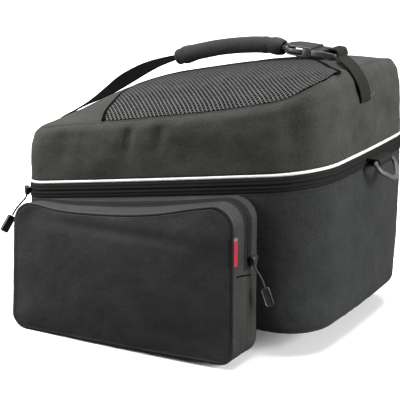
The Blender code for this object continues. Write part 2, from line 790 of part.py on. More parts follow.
def build_tag():
    """Blank folded ribbon sewn into the pocket's front seam at the rear-end side."""
    edge_x = POCKET_CENTRE_X + POCKET_WIDTH / 2
    front_y = pocket_back_y(edge_x) - POCKET_DEPTH
    builder = bmesh.new()
    bmesh.ops.create_cube(builder, size=1.0)
    bmesh.ops.scale(builder, vec=(TAG_THICKNESS, TAG_REACH, TAG_HEIGHT), verts=builder.verts)
    tag = object_from_bmesh("side_tag", builder, TAG_CLOTH)
    tag.location = (edge_x + CLEARANCE + TAG_THICKNESS / 2, front_y + TAG_REACH * (0.5 - TAG_PROUD), TAG_CENTRE_Z)


def strap_point(row):
    """Place of a strap's middle line in space. Beyond the rear end it clears the end's bow."""
    half = BODY_LENGTH / 2
    x = row.along * half + (END_BOW if row.along > 1.0 else 0.0)
    return Vector((x, STRAP_Y, zip_line(min(max(x, -half), half)) + row.height * LID_FRONT_HEIGHT))


def wall_anchor(end, rise, proud=0.0, sweep=0.0):
    """Place of webbing against the lid's end wall, -1 for the front end and 1 for the rear."""
    x = end * BODY_LENGTH / 2
    foot = zip_line(x) + PIPING_HALF
    out = (END_BOW if end > 0 else 0.0) - LID_LEAN * smooth_value(LID_WALL_SECTIONS, "lean", rise)
    stand_off = WEBBING_THICKNESS / 2 + 2 * CLEARANCE + proud
    height = foot + rise * (seam_height(x) - foot)
    return Vector((x + end * (out + stand_off), STRAP_Y - sweep, height))


def roof_point(row):
    """Place of the rear strap's middle line over the roof."""
    prong_end = prong_middle_x() + PRONG_LENGTH / 2
    x = prong_end + row.behind * (BODY_LENGTH / 2 - prong_end)
    return Vector((x, STRAP_Y - row.sweep, roof_height(x, 0.0) + row.lift))


def prong_middle_x():
    """Middle of the buckle's prong."""
    return BUCKLE_START_X + SOCKET_LENGTH + CLEARANCE + PRONG_LENGTH / 2


def prong_slot_x():
    """Middle of the prong's webbing slot."""
    return prong_middle_x() + PRONG_LENGTH / 2 - PRONG_BAR - PRONG_SLOT_LENGTH / 2


def prong_wrap():
    """Webbing up through the prong's slot and over its rear bar."""
    stand_off = WEBBING_THICKNESS / 2 + 3 * CLEARANCE
    top = BUCKLE_Z + BUCKLE_THICKNESS * PRONG_SHARE / 2 + stand_off
    behind = prong_middle_x() + PRONG_LENGTH / 2 + stand_off
    places = (
        (prong_slot_x(), BUCKLE_Z - WEBBING_THICKNESS),
        (prong_slot_x(), top - stand_off),
        ((prong_slot_x() + behind) / 2, top + CLEARANCE),
        (behind, top - stand_off),
        (behind + stand_off, BUCKLE_Z),
    )
    return [Vector((x, STRAP_Y, z)) for x, z in places]


def ribbon(name, places, width, thickness, finish, spacing):
    """Flat webbing along a smooth line in the XZ plane, its width along Y."""
    points = smooth_route(places, spacing)
    sections = []
    for i, point in enumerate(points):
        ahead = points[min(i + 1, len(points) - 1)] - points[max(i - 1, 0)]
        normal = Vector((-ahead.z, 0.0, ahead.x)).normalized() * thickness / 2
        side = Vector((0.0, width / 2, 0.0))
        sections.append([tuple(point + a * side + b * normal) for a, b in ((-1, -1), (1, -1), (1, 1), (-1, 1))])
    return object_from_bmesh(name, bar_between(sections), finish)


def build_straps():
    """Front and rear webbing, the grip, and the folded webbing between the grip and the buckle."""
    front = [wall_anchor(-1, ANCHOR_LOW_RISE), wall_anchor(-1, ANCHOR_HIGH_RISE)]
    front += [strap_point(row) for row in FRONT_STRAP]
    ribbon("strap_front", front, WEBBING_WIDTH, WEBBING_THICKNESS, WEBBING, 0.010)
    rear = prong_wrap() + [roof_point(row) for row in REAR_STRAP_ON_ROOF]
    rear += [wall_anchor(1, row.rise, row.proud, row.sweep) for row in REAR_STRAP_ON_END]
    rear += [wall_anchor(1, REAR_ANCHOR_HIGH_RISE), wall_anchor(1, REAR_ANCHOR_LOW_RISE)]
    ribbon("strap_rear", rear, WEBBING_WIDTH, WEBBING_THICKNESS, WEBBING, 0.0035)
    points = smooth_route([strap_point(row) for row in GRIP_LINE], 0.014)
    rings = []
    for i, point in enumerate(points):
        ahead = (points[min(i + 1, len(points) - 1)] - points[max(i - 1, 0)]).normalized()
        normal = Vector((-ahead.z, 0.0, ahead.x))
        side = Vector((0.0, 1.0, 0.0))
        end = i in (0, len(points) - 1)
        radius = GRIP_DIAMETER / 2 - (GRIP_END_ROUND if end else 0.0)
        angles = [2 * math.pi * k / GRIP_SIDES for k in range(GRIP_SIDES)]
        rings.append([tuple(point + radius * (math.cos(a) * side + math.sin(a) * normal)) for a in angles])
    object_from_bmesh("grip", loft(rings), GRIP_CLOTH, 50.0)

    start = points[-1] + Vector((CLEARANCE, 0.0, 0.0)) * 2
    end = Vector((BUCKLE_START_X - CLEARANCE, STRAP_Y, BUCKLE_Z))
    half_y = Vector((0.0, STUB_WIDTH / 2, 0.0))
    half_z = Vector((0.0, 0.0, STUB_THICKNESS / 2))
    sections = []
    for point in (start, (start + end) / 2, end):
        sections.append([tuple(point + a * half_y + b * half_z) for a, b in ((-1, -1), (1, -1), (1, 1), (-1, 1))])
    object_from_bmesh("grip_stub", bar_between(sections), WEBBING)


def block(name, size, finish, bevel_width=0.0, segments=2):
    """Box about its own middle, with bevelled edges."""
    builder = bmesh.new()
    bmesh.ops.create_cube(builder, size=1.0)
    bmesh.ops.scale(builder, vec=size, verts=builder.verts)
    item = object_from_bmesh(name, builder, finish)
    if bevel_width:
        bevel = item.modifiers.new("edges", "BEVEL")
        bevel.width = bevel_width
        bevel.segments = segments
        bevel.limit_method = "ANGLE"
    return item


def cut(item, cutter):
    """Takes a cutter's shape out of an item and hides the cutter."""
    cutter.hide_render = True
    cutter.display_type = "WIRE"
    modifier = item.modifiers.new("cut_" + cutter.name, "BOOLEAN")
    modifier.operation = "DIFFERENCE"
    modifier.solver = "EXACT"
    modifier.object = cutter


def join(item, other):
    """Adds another shape to an item and hides it."""
    other.hide_render = True
    other.display_type = "WIRE"
    modifier = item.modifiers.new("join_" + other.name, "BOOLEAN")
    modifier.operation = "UNION"
    modifier.solver = "EXACT"
    modifier.object = other


def build_buckle():
    """Fastened side-release buckle: a hollow socket, and a prong whose tongue fills its mouth."""
    middle = Vector((BUCKLE_START_X + SOCKET_LENGTH / 2, STRAP_Y, BUCKLE_Z))
    socket = block("buckle_socket", (SOCKET_LENGTH, BUCKLE_WIDTH, BUCKLE_THICKNESS), MOULDED_PLASTIC, BUCKLE_BEVEL)
    socket.location = middle
    mouth_depth = SOCKET_LENGTH * 0.62
    mouth_size = (mouth_depth * 2, BUCKLE_WIDTH - 2 * SOCKET_WALL - 2 * BUCKLE_BEVEL, BUCKLE_THICKNESS - 2 * SOCKET_WALL)
    mouth = block("socket_mouth", mouth_size, MOULDED_PLASTIC)
    mouth.location = middle + Vector((SOCKET_LENGTH / 2, 0.0, 0.0))
    cut(socket, mouth)
    window_size = (SOCKET_LENGTH * 0.36, BUCKLE_WIDTH * 1.2, mouth_size[2] * 0.72)
    window = block("socket_window", window_size, MOULDED_PLASTIC)
    window.location = middle + Vector((SOCKET_LENGTH * 0.02, 0.0, 0.0))
    cut(socket, window)

    prong_size = (PRONG_LENGTH, BUCKLE_WIDTH, BUCKLE_THICKNESS * PRONG_SHARE)
    prong = block("buckle_prong", prong_size, MOULDED_PLASTIC, PRONG_BEVEL)
    prong.location = (prong_middle_x(), STRAP_Y, BUCKLE_Z)
    tongue_size = (PRONG_TONGUE * 2, mouth_size[1] - 4 * CLEARANCE, mouth_size[2] - 4 * CLEARANCE)
    tongue = block("prong_tongue", tongue_size, MOULDED_PLASTIC)
    tongue.location = (prong_middle_x() - PRONG_LENGTH / 2, STRAP_Y, BUCKLE_Z)
    join(prong, tongue)
    slot = block("prong_slot", (PRONG_SLOT_LENGTH, PRONG_SLOT_WIDTH, BUCKLE_THICKNESS * 2), MOULDED_PLASTIC)
    slot.location = (prong_slot_x(), STRAP_Y, BUCKLE_Z)
    cut(prong, slot)


def ring_axis_height():
    """Height of the rear ring's bar, just under the zip at the rear end."""
    return zip_line(BODY_LENGTH / 2) - ZIP_BOTTOM_DROP * 0.62


def ring_axis_x():
    """Place of the rear ring's bar, out from the rear end."""
    return BODY_LENGTH / 2 + END_BOW + TAB_REACH


def tab_profile(bar_x, bar_z, wall_x):
    """Side view of a webbing tab: out from the wall, round the bar and back, as two outlines."""
    inner_radius = RING_WIRE / 2 + RING_RUNNING_GAP
    outer_radius = inner_radius + TAB_THICKNESS
    inner, outer = [], []
    for radius, target in ((inner_radius, inner), (outer_radius, outer)):
        target.append((wall_x, bar_z + radius))
        for step in range(7):
            angle = math.radians(90.0 - 180.0 * step / 6)
            target.append((bar_x + radius * math.cos(angle), bar_z + radius * math.sin(angle)))
        target.append((wall_x, bar_z - radius))
    return inner, outer


def build_ring_and_tab():
    """Rear webbing tab and the ring that swings in it."""
    bar_x, bar_z = ring_axis_x(), ring_axis_height()
    wall_x = BODY_LENGTH / 2 + END_BOW + COIL_THICKNESS + 3 * CLEARANCE
    inner, outer = tab_profile(bar_x, bar_z, wall_x)
    half = TAB_WIDTH / 2
    sections = []
    for (ix, iz), (ox, oz) in zip(inner, outer):
        y = STRAP_Y
        sections.append([(ix, y - half, iz), (ix, y + half, iz), (ox, y + half, oz), (ox, y - half, oz)])
    object_from_bmesh("ring_tab", bar_between(sections), WEBBING)

    swing = bpy.data.objects.new("ring_swing", None)
    swing.location = (bar_x, STRAP_Y, bar_z)
    swing.rotation_euler = (0.0, math.radians(-RING_HANG_DEG), 0.0)
    bpy.context.scene.collection.objects.link(swing)
    ring = tube_object("strap_ring", ring_path(), RING_WIRE, MOULDED_PLASTIC, 1)
    ring.data.splines[0].use_cyclic_u = True
    ring.parent = swing


def ring_path():
    """Middle line of the ring in its own plane: a straight bar, two legs and a rounded foot."""
    half = RING_WIDTH / 2 - RING_WIRE / 2
    reach = RING_LENGTH - RING_WIRE
    knee = reach * 0.30
    points = [(0.0, y, 0.0) for y in (-half * 0.86, -half * 0.4, half * 0.4, half * 0.86)]
    points.append((0.0, half, -0.10 * reach))
    foot = []
    for step in range(9):
        angle = math.radians(180.0 * step / 8)
        spread = math.copysign(abs(math.cos(angle)) ** 0.8, math.cos(angle))
        foot.append((0.0, half * spread, -knee - (reach - knee) * math.sin(angle)))
    points += foot
    points.append((0.0, -half, -0.10 * reach))
    return points


def build_front_ring():
    """The hidden front end's ring and tab, as one plain piece: a plate with a slot."""
    wall_x = -BODY_LENGTH / 2 - CLEARANCE
    middle = Vector((wall_x - RING_WIRE / 2, STRAP_Y, body_top(-BODY_LENGTH / 2) - RING_LENGTH * 0.6))
    plate = block("front_ring", (RING_WIRE, RING_WIDTH, RING_LENGTH), MOULDED_PLASTIC, RING_WIRE * 0.3)
    plate.location = middle
    slot_size = (RING_WIRE * 3, RING_WIDTH - 2.4 * RING_WIRE, RING_LENGTH - 3.2 * RING_WIRE)
    slot = block("front_ring_slot", slot_size, MOULDED_PLASTIC)
    slot.location = middle - Vector((0.0, 0.0, RING_WIRE * 0.4))
    cut(plate, slot)


def build_slider(name, place, turn_z):
    """Zip slider with an upright eye for its cord, its outer face along its own +X. Gives the eye's place."""
    body = block(name, (SLIDER_DEPTH, SLIDER_LENGTH, SLIDER_WIDTH), MOULDED_PLASTIC, SLIDER_BEVEL, 1)
    body.location = place
    body.rotation_euler = (0.0, 0.0, turn_z)
    builder = bmesh.new()
    bmesh.ops.create_cone(
        builder,
        segments=10,
        cap_ends=True,
        radius1=EYE_DIAMETER / 2,
        radius2=EYE_DIAMETER / 2,
        depth=SLIDER_WIDTH * 2,
    )
    eye = object_from_bmesh(name + "_eye", builder, MOULDED_PLASTIC)
    reach = SLIDER_DEPTH / 2 - EYE_DIAMETER / 2 - SLIDER_BEVEL
    eye_place = Vector(place) + Vector((math.cos(turn_z), math.sin(turn_z), 0.0)) * reach
    eye.location = eye_place
    cut(body, eye)
    return eye_place


def build_pull(prefix, eye_place, route):
    """Pull cord along its route from its slider's eye, and the moulded tab at its end."""
    points = smooth_route([eye_place + Vector(step) for step in route], CORD_DIAMETER * 2.2)
    tube_object(prefix + "_cord", points, CORD_DIAMETER, WEBBING, 2)
    ahead = (points[-1] - points[-2]).normalized()
    tab = block(prefix + "_pull", (PULL_THICKNESS, PULL_WIDTH, PULL_LENGTH), MOULDED_PLASTIC, PULL_THICKNESS * 0.3, 2)
    tab.rotation_mode = "QUATERNION"
    tab.rotation_quaternion = (-ahead).to_track_quat("Z", "Y")
    tab.location = points[-1] + ahead * (PULL_LENGTH / 2 + CLEARANCE)


def slider_reach():
    """From a zip's face to a slider's middle."""
    return COIL_THICKNESS + 2 * CLEARANCE + SLIDER_DEPTH / 2


def build_sliders():
    """Main slider at the front corner of the pocket side, and the pocket's slider at its zip's end."""
    corner = FRONT_CORNER_RADIUS
    angle = math.radians(225.0)
    reach = corner + slider_reach()
    x = -BODY_LENGTH / 2 + corner + reach * math.cos(angle)
    y = -BODY_WIDTH / 2 + corner + reach * math.sin(angle)
    middle = (ZIP_TOP_DROP + ZIP_BOTTOM_DROP) / 2
    eye_place = build_slider("main_slider", (x, y, zip_line(x) - middle), angle)
    build_pull("main", eye_place, MAIN_CORD_ROUTE)

    side_x = POCKET_CENTRE_X + POCKET_WIDTH / 2
    depth = POCKET_BACK_STRIP + CLEARANCE + POCKET_ZIP_WIDTH / 2
    place = (side_x + slider_reach(), pocket_back_y(side_x) - depth, POCKET_ZIP_END_Z + SLIDER_WIDTH)
    eye_place = build_slider("pocket_slider", place, 0.0)
    build_pull("pocket", eye_place, POCKET_CORD_ROUTE)


def main():
    """Builds the bag."""
    clear_scene()
    build_plate()
    build_body()
    build_zip_and_hinge()
    build_piping()
    build_lid()
    build_mesh_panel()
    build_pocket()
    build_tag()
    build_straps()
    build_buckle()
    build_ring_and_tab()
    build_front_ring()
    build_sliders()


main()
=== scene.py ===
"""Looks of a bicycle trunk bag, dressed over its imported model."""

import logging
import math
from dataclasses import dataclass
from enum import Enum
from typing import Callable, Sequence

import bmesh
import bpy
import numpy as np
from mathutils import Matrix, Vector, noise


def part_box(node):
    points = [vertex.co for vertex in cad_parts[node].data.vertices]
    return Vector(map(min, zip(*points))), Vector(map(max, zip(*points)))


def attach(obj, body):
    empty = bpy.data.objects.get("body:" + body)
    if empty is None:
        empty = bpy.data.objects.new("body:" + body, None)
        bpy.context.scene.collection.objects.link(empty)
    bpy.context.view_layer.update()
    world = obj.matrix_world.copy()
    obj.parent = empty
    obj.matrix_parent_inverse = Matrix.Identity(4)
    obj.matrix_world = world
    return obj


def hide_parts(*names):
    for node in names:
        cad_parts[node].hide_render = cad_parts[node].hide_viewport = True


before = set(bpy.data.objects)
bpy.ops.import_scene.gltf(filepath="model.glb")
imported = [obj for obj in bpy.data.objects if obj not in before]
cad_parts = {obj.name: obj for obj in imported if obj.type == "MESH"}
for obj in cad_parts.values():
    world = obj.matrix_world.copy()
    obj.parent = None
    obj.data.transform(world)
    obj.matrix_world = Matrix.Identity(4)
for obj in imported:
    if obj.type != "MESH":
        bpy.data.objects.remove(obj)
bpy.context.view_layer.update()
LOG = logging.getLogger("trunk_bag")

MILLIMETRE = 0.001
MERGE_DISTANCE = 0.00002
CURVE_STEPS = 20
FINE_WAVE_SHARE = 0.45
FINE_WAVE_RATIO = 2.3

# A stitch in shares of its pitch, with its half widths and levels in millimetres
STITCH_PLACES = (0.08, 0.28, 0.62, 0.82)
STITCH_HALF_WIDTHS = (0.10, 0.26, 0.26, 0.10)
STITCH_LEVELS = (-0.1, 0.28, 0.28, -0.1)
THREAD_CROWN = 0.0002

# How a moulded bar's edges and ends are rounded
END_ROUND_SHARE = 0.35
END_FIRST_STEP = 0.3
SECTION_POWER = 0.38

Point = tuple[float, float, float]
Pairs = Sequence[tuple[float, float]]
Rows = Sequence[tuple[float, ...]]
Grid = np.ndarray
Piece = bpy.types.Object
Finish = bpy.types.Material
Socket = bpy.types.NodeSocket


class Side(Enum):
    """Which way a soft place moves the cloth."""

    IN = -1.0
    OUT = 1.0


class Weave(Enum):
    """How the threads of a cloth run."""

    PLAIN = "plain"
    DIAGONAL = "diagonal"


class LightKind(Enum):
    """Kinds of soft light."""

    AREA = "AREA"
    SUN = "SUN"


class Axis(Enum):
    """Which way a moulded bar runs."""

    X = 0
    Y = 1
    Z = 2


class Section(Enum):
    """Which part of the pocket's outline a strip takes."""

    ZIP = "zip"
    GUSSET = "gusset"
    WHOLE = "whole"


@dataclass(frozen=True)
class SmoothTable:
    """A smooth curve through a short table of places and values."""

    places: tuple[float, ...]
    values: tuple[float, ...]

    def at(self, where: Grid) -> Grid:
        """Reads the curve.

        Args:
            where: Places along the table's first column.

        Returns:
            The values there, on one cubic curve through the rows.
        """
        xs = np.array(self.places)
        ys = np.array(self.values)
        slopes = np.gradient(ys, xs)
        place = np.clip(where, xs[0], xs[-1])
        i = np.clip(np.searchsorted(xs, place, side="right") - 1, 0, len(xs) - 2)
        step = xs[i + 1] - xs[i]
        t = (place - xs[i]) / step
        first = (2 * t**3 - 3 * t**2 + 1) * ys[i] + (t**3 - 2 * t**2 + t) * step * slopes[i]
        return first + (3 * t**2 - 2 * t**3) * ys[i + 1] + (t**3 - t**2) * step * slopes[i + 1]


@dataclass(frozen=True)
class SoftPlace:
    """A dent or a swelling in cloth: its middle, its half sizes along x, y, z, and its depth."""

    middle: Point
    reach: Point
    depth: float
    side: Side = Side.IN

    def push(self, points: Grid) -> Grid:
        """Gives how far each point moves along its outward normal."""
        away = (points - np.array(self.middle)) / np.array(self.reach)
        return self.side.value * self.depth * np.exp(-np.sum(away**2, axis=-1))


@dataclass(frozen=True)
class BagForm:
    """Main form that the pieces share, in metres, with x from the front end to the rear."""

    length: float = 0.360
    width: float = 0.260
    end_bow: float = 0.0043
    side_bow: float = 0.0047
    rear_radius: float = 0.050
    front_radius: float = 0.0355
    bottom: float = 0.024
    front_height: float = 0.1227
    zip_rise: float = 0.0530
    piping: float = 0.0046
    zip_height: float = 0.0146
    lid_height: float = 0.0633
    lid_rear_gain: float = 0.0200
    lid_lean: float = 0.0120
    lid_crown: float = 0.0330
    crown_power: float = 2.2
    hinge_width: float = 0.170
    strap_y: float = 0.0020
    lid_gain: SmoothTable = SmoothTable(
        (0.0, 0.09, 0.18, 0.35, 0.5, 0.65, 0.8, 0.92, 1.0),
        (-0.42, -0.17, -0.08, -0.06, 0.03, 0.12, 0.31, 0.60, 1.0),
    )
    crown: SmoothTable = SmoothTable(
        (0.0, 0.09, 0.18, 0.35, 0.5, 0.65, 0.8, 0.92, 1.0),
        (0.05, 0.32, 0.63, 1.0, 1.08, 1.11, 0.97, 0.63, 0.16),
    )
    lean: SmoothTable = SmoothTable((0.0, 0.45, 0.75, 0.92, 1.0), (0.0, 0.10, 0.28, 0.58, 1.0))

    def share(self, x: Grid) -> Grid:
        """Gives 0 at the front end and 1 at the rear end."""
        return np.clip(x / self.length + 0.5, 0.0, 1.0)

    def zip_line(self, x: Grid) -> Grid:
        """Gives the height of the piping's middle."""
        return self.bottom + self.front_height + self.zip_rise * (x / self.length + 0.5)

    def seam(self, x: Grid) -> Grid:
        """Gives the height of the lid's top seam on its long sides."""
        return self.zip_line(x) + self.lid_height + self.lid_rear_gain * self.lid_gain.at(self.share(x))

    def bow(self, x: Grid) -> Grid:
        """Gives how far a long side bows out."""
        return self.side_bow * np.maximum(0.0, 1.0 - (2 * x / self.length) ** 2)

    def roof(self, x: Grid, y: Grid) -> Grid:
        """Gives the height of the lid's domed top.

        Args:
            x: Places along the bag.
            y: Places across it.

        Returns:
            The heights.
        """
        half = self.width / 2 - self.lid_lean + self.bow(x)
        across = np.minimum(np.abs(y) / half, 1.0)
        return self.seam(x) + self.lid_crown * self.crown.at(self.share(x)) * (1.0 - across**self.crown_power)

    def on_roof(self, ring: Grid, lift: float = 0.0) -> Grid:
        """Lifts a plan ring onto the lid's top."""
        return np.column_stack([ring, self.roof(ring[:, 0], ring[:, 1]) + lift])

    def at_zip(self, ring: Grid, lift: float = 0.0) -> Grid:
        """Lifts a plan ring to the height of the piping's middle."""
        return np.column_stack([ring, self.zip_line(ring[:, 0]) + lift])

    def plan(self, inset: float, corner: int = 14, side: int = 66, end: int = 42) -> Grid:
        """Draws the plan outline, from beside the hinge round the pocket side first.

        Args:
            inset: How far the outline is drawn in.
            corner: Steps in each corner.
            side: Steps along each long side.
            end: Steps along each end.

        Returns:
            Points of the closed outline, one row each.
        """
        length = self.length / 2 - inset
        width = self.width / 2 - inset
        rear = self.rear_radius - min(inset, 0.6 * self.rear_radius)
        front = self.front_radius - min(inset, 0.6 * self.front_radius)
        corners = [
            self.turn(-length + front, -width + front, front, 180.0, corner),
            self.turn(length - rear, -width + rear, rear, 270.0, corner),
            self.turn(length - rear, width - rear, rear, 0.0, corner),
            self.turn(-length + front, width - front, front, 90.0, corner),
        ]
        half_hinge = self.hinge_width / 2
        rows = [np.array([[-length, -half_hinge]])]
        for i, steps in enumerate((side, end, side)):
            rows.append(corners[i])
            rows.append(np.linspace(corners[i][-1], corners[i + 1][0], steps + 1)[1:-1])
        rows.append(corners[3])
        rows.append(np.linspace([-length, half_hinge], [-length, -half_hinge], 21)[:-1])
        points = np.concatenate(rows)
        x, y = points[:, 0], points[:, 1]
        out = self.end_bow * np.maximum(0.0, 1.0 - (2 * y * self.width / 2 / width / self.width) ** 2)
        moved_x = x + np.where(x > 0, out, 0.0)
        moved_y = y + np.sign(y) * self.bow(x) * np.minimum(1.0, np.abs(y) / width)
        return np.stack([moved_x, moved_y], axis=1)

    @staticmethod
    def turn(x: float, y: float, radius: float, start: float, steps: int) -> Grid:
        """Draws a quarter turn, anticlockwise from its start angle in degrees."""
        angles = np.radians(start + np.linspace(0.0, 90.0, steps + 1))
        return np.stack([x + radius * np.cos(angles), y + radius * np.sin(angles)], axis=1)


FORM = BagForm()


def loop_length(points: Grid) -> Grid:
    """Gives the distance run at each point of a closed loop, with the whole length last."""
    steps = np.linalg.norm(np.roll(points, -1, axis=0) - points, axis=1)
    return np.concatenate([[0.0], np.cumsum(steps)])


def run_length(points: Grid) -> Grid:
    """Gives the distance run at each point of an open line."""
    return np.concatenate([[0.0], np.cumsum(np.linalg.norm(np.diff(points, axis=0), axis=1))])


def directions(points: Grid) -> Grid:
    """Gives the unit direction of an open line at each of its points."""
    ahead = np.gradient(points, axis=0)
    return ahead / np.linalg.norm(ahead, axis=1, keepdims=True)


def rise_length(grid: Grid) -> Grid:
    """Gives the mean distance run up a grid at each of its rows."""
    steps = np.linalg.norm(np.diff(grid, axis=0), axis=-1).mean(axis=1)
    return np.concatenate([[0.0], np.cumsum(steps)])


def radial(out: Grid, angle: float) -> Grid:
    """Gives a unit step at an angle up from each outward normal of a plan."""
    return np.column_stack([out * math.cos(angle), np.full(len(out), math.sin(angle))])


def plan_normals(points: Grid) -> Grid:
    """Gives the outward normals of a closed outline that runs anticlockwise.

    Args:
        points: The outline, one row each.

    Returns:
        A unit normal for each point.
    """
    ahead = np.roll(points, -1, axis=0) - np.roll(points, 1, axis=0)
    ahead /= np.linalg.norm(ahead, axis=1, keepdims=True)
    return np.stack([ahead[:, 1], -ahead[:, 0]], axis=1)


def smooth_path(knots: Sequence[Point], count: int) -> Grid:
    """Lays even points on a smooth curve through given ones.

    Args:
        knots: The chosen points.
        count: How many points to lay.

    Returns:
        The points, one row each.
    """
    ends = np.array(knots, float)
    ends = np.concatenate([[2 * ends[0] - ends[1]], ends, [2 * ends[-1] - ends[-2]]])
    fine = []
    for a, b, c, d in zip(ends, ends[1:], ends[2:], ends[3:]):
        for t in np.arange(CURVE_STEPS) / CURVE_STEPS:
            bend = (2 * a - 5 * b + 4 * c - d) * t**2 + (3 * b - a - 3 * c + d) * t**3
            fine.append(0.5 * (2 * b + (c - a) * t + bend))
    fine.append(ends[-2])
    line = np.array(fine)
    run = run_length(line)
    even = np.linspace(0.0, run[-1], count)
    return np.stack([np.interp(even, run, line[:, k]) for k in range(3)], axis=1)


def grid_normals(rows: Grid, closed: bool) -> Grid:
    """Gives the outward normals of a grid of points.

    Args:
        rows: Points as rows of a grid.
        closed: Whether each row runs back into itself.

    Returns:
        A unit normal for each point.
    """
    if closed:
        across = np.roll(rows, -1, axis=1) - np.roll(rows, 1, axis=1)
    else:
        across = np.gradient(rows, axis=1)
    normals = np.cross(across, np.gradient(rows, axis=0))
    return normals / np.maximum(np.linalg.norm(normals, axis=-1, keepdims=True), 1e-12)


def ripple(points: Grid, size: float, seed: float) -> Grid:
    """Gives soft noise between -1 and 1 for each point.

    Args:
        points: Points in metres.
        size: Size of the softest waves in metres.
        seed: Shift that makes one cloth differ from another.

    Returns:
        One value for each point, in the points' own grid.
    """
    flat = points.reshape(-1, 3) / size + seed
    values = []
    for spot in flat:
        fine = noise.noise(Vector(spot * FINE_WAVE_RATIO))
        values.append(noise.noise(Vector(spot)) + FINE_WAVE_SHARE * fine)
    return np.array(values).reshape(points.shape[:-1])


def soften(
    rows: Grid,
    closed: bool,
    wave: float,
    size: float,
    seed: float,
    places: Sequence[SoftPlace] = (),
    hold: Callable[[Grid], Grid] | None = None,
) -> Grid:
    """Moves a cloth's points in and out as real cloth does.

    Args:
        rows: Points as rows of a grid.
        closed: Whether each row runs back into itself.
        wave: Height of the soft waves in metres.
        size: Size of the waves in metres.
        seed: Shift of the noise.
        places: Dents and swellings.
        hold: Gives each row's share of the movement, 0 at a sewn edge.

    Returns:
        The moved grid.
    """
    normals = grid_normals(rows, closed)
    push = wave * ripple(rows, size, seed)
    for place in places:
        push = push + place.push(rows)
    if hold is not None:
        push = push * hold(np.linspace(0.0, 1.0, len(rows)))[:, None]
    return rows + normals * push[..., None]


def placed(name: str, data: bpy.types.ID) -> Piece:
    """Puts new data in the scene as an object.

    Args:
        name: Name of the object.
        data: Its mesh, light or camera.

    Returns:
        The new object.
    """
    item = bpy.data.objects.new(name, data)
    bpy.context.scene.collection.objects.link(item)
    return item


def sheet_object(
    name: str, rows: Grid, uv: Grid, closed: bool, material: Finish, merge: bool = False
) -> Piece:
    """Makes a smooth mesh from a grid of points.

    Args:
        name: Name of the piece.
        rows: Points as rows of a grid, outward side on the left of row by column.
        uv: Metres across and up the cloth, with one more column than the points where closed.
        closed: Whether each row runs back into itself.
        material: Its finish.
        merge: Whether points that fall together become one.

    Returns:
        The new object.
    """
    count, across = rows.shape[:2]
    columns = across if closed else across - 1
    r, i = np.meshgrid(np.arange(count - 1), np.arange(columns), indexing="ij")
    j = (i + 1) % across
    faces = np.stack([r * across + i, r * across + j, (r + 1) * across + j, (r + 1) * across + i], -1)
    mesh = bpy.data.meshes.new(name)
    mesh.from_pydata(rows.reshape(-1, 3).tolist(), [], faces.reshape(-1, 4).tolist())
    layer = mesh.uv_layers.new(name="cloth")
    corners = np.stack([uv[r, i], uv[r, i + 1], uv[r + 1, i + 1], uv[r + 1, i]], axis=-2)
    layer.data.foreach_set("uv", corners.reshape(-1).astype(np.float32))
    if merge:
        builder = bmesh.new()
        builder.from_mesh(mesh)
        bmesh.ops.remove_doubles(builder, verts=builder.verts, dist=MERGE_DISTANCE)
        builder.to_mesh(mesh)
        builder.free()
    mesh.shade_smooth()
    mesh.materials.append(material)
    return placed(name, mesh)


def refinish(node: str, material: Finish) -> None:
    """Gives a CAD node another finish.

    Args:
        node: Name of the node.
        material: Its finish.
    """
    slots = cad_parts[node].data.materials
    slots.clear()
    slots.append(material)


def metres_grid(run: Grid, up: Grid) -> Grid:
    """Makes a grid of cloth metres from a run across and a run up."""
    u, v = np.meshgrid(run, up)
    return np.stack([u, v], axis=-1)


def joined(name: str, parts: Sequence[Piece]) -> Piece:
    """Joins meshes into one piece and keeps their finishes.

    Args:
        name: Name of the joined piece.
        parts: Mesh objects, which are used up.

    Returns:
        The joined object.
    """
    bpy.ops.object.select_all(action="DESELECT")
    for part in parts:
        part.select_set(True)
    bpy.context.view_layer.objects.active = parts[0]
    bpy.ops.object.join()
    whole = bpy.context.view_layer.objects.active
    whole.name = name
    whole.data.name = name
    return whole


def stitch_row(name: str, line: Grid, normals: Grid, material: Finish, pitch: float = 0.0030) -> Piece:
    """Lays a row of single stitches along a line on cloth.

    Args:
        name: Name of the piece.
        line: Points along the row.
        normals: The cloth's outward normal at each point.
        material: The thread.
        pitch: From one stitch to the next, in metres.

    Returns:
        The row of stitches.
    """
    run = run_length(line)
    count = max(2, int(run[-1] / pitch))
    vertices: list[list[float]] = []
    faces: list[tuple[int, ...]] = []
    for k in range(count):
        spots = (np.array(STITCH_PLACES) + k) * pitch
        centres = np.stack([np.interp(spots, run, line[:, a]) for a in range(3)], axis=1)
        up = np.array([np.interp(spots[1], run, normals[:, a]) for a in range(3)])
        ahead = centres[-1] - centres[0]
        side = np.cross(ahead, up)
        side /= max(np.linalg.norm(side), 1e-9)
        base = len(vertices)
        for centre, wide, high in zip(centres, STITCH_HALF_WIDTHS, STITCH_LEVELS):
            for a, b in ((-1.0, 0.0), (0.0, 1.0), (1.0, 0.0)):
                rise = THREAD_CROWN * b + high * MILLIMETRE
                vertices.append(list(centre + side * a * wide * MILLIMETRE + up * rise))
        for ring in range(3):
            for edge in range(2):
                low = base + ring * 3 + edge
                faces.append((low, low + 3, low + 4, low + 1))
    mesh = bpy.data.meshes.new(name)
    mesh.from_pydata(vertices, [], faces)
    mesh.shade_smooth()
    mesh.materials.append(material)
    return placed(name, mesh)


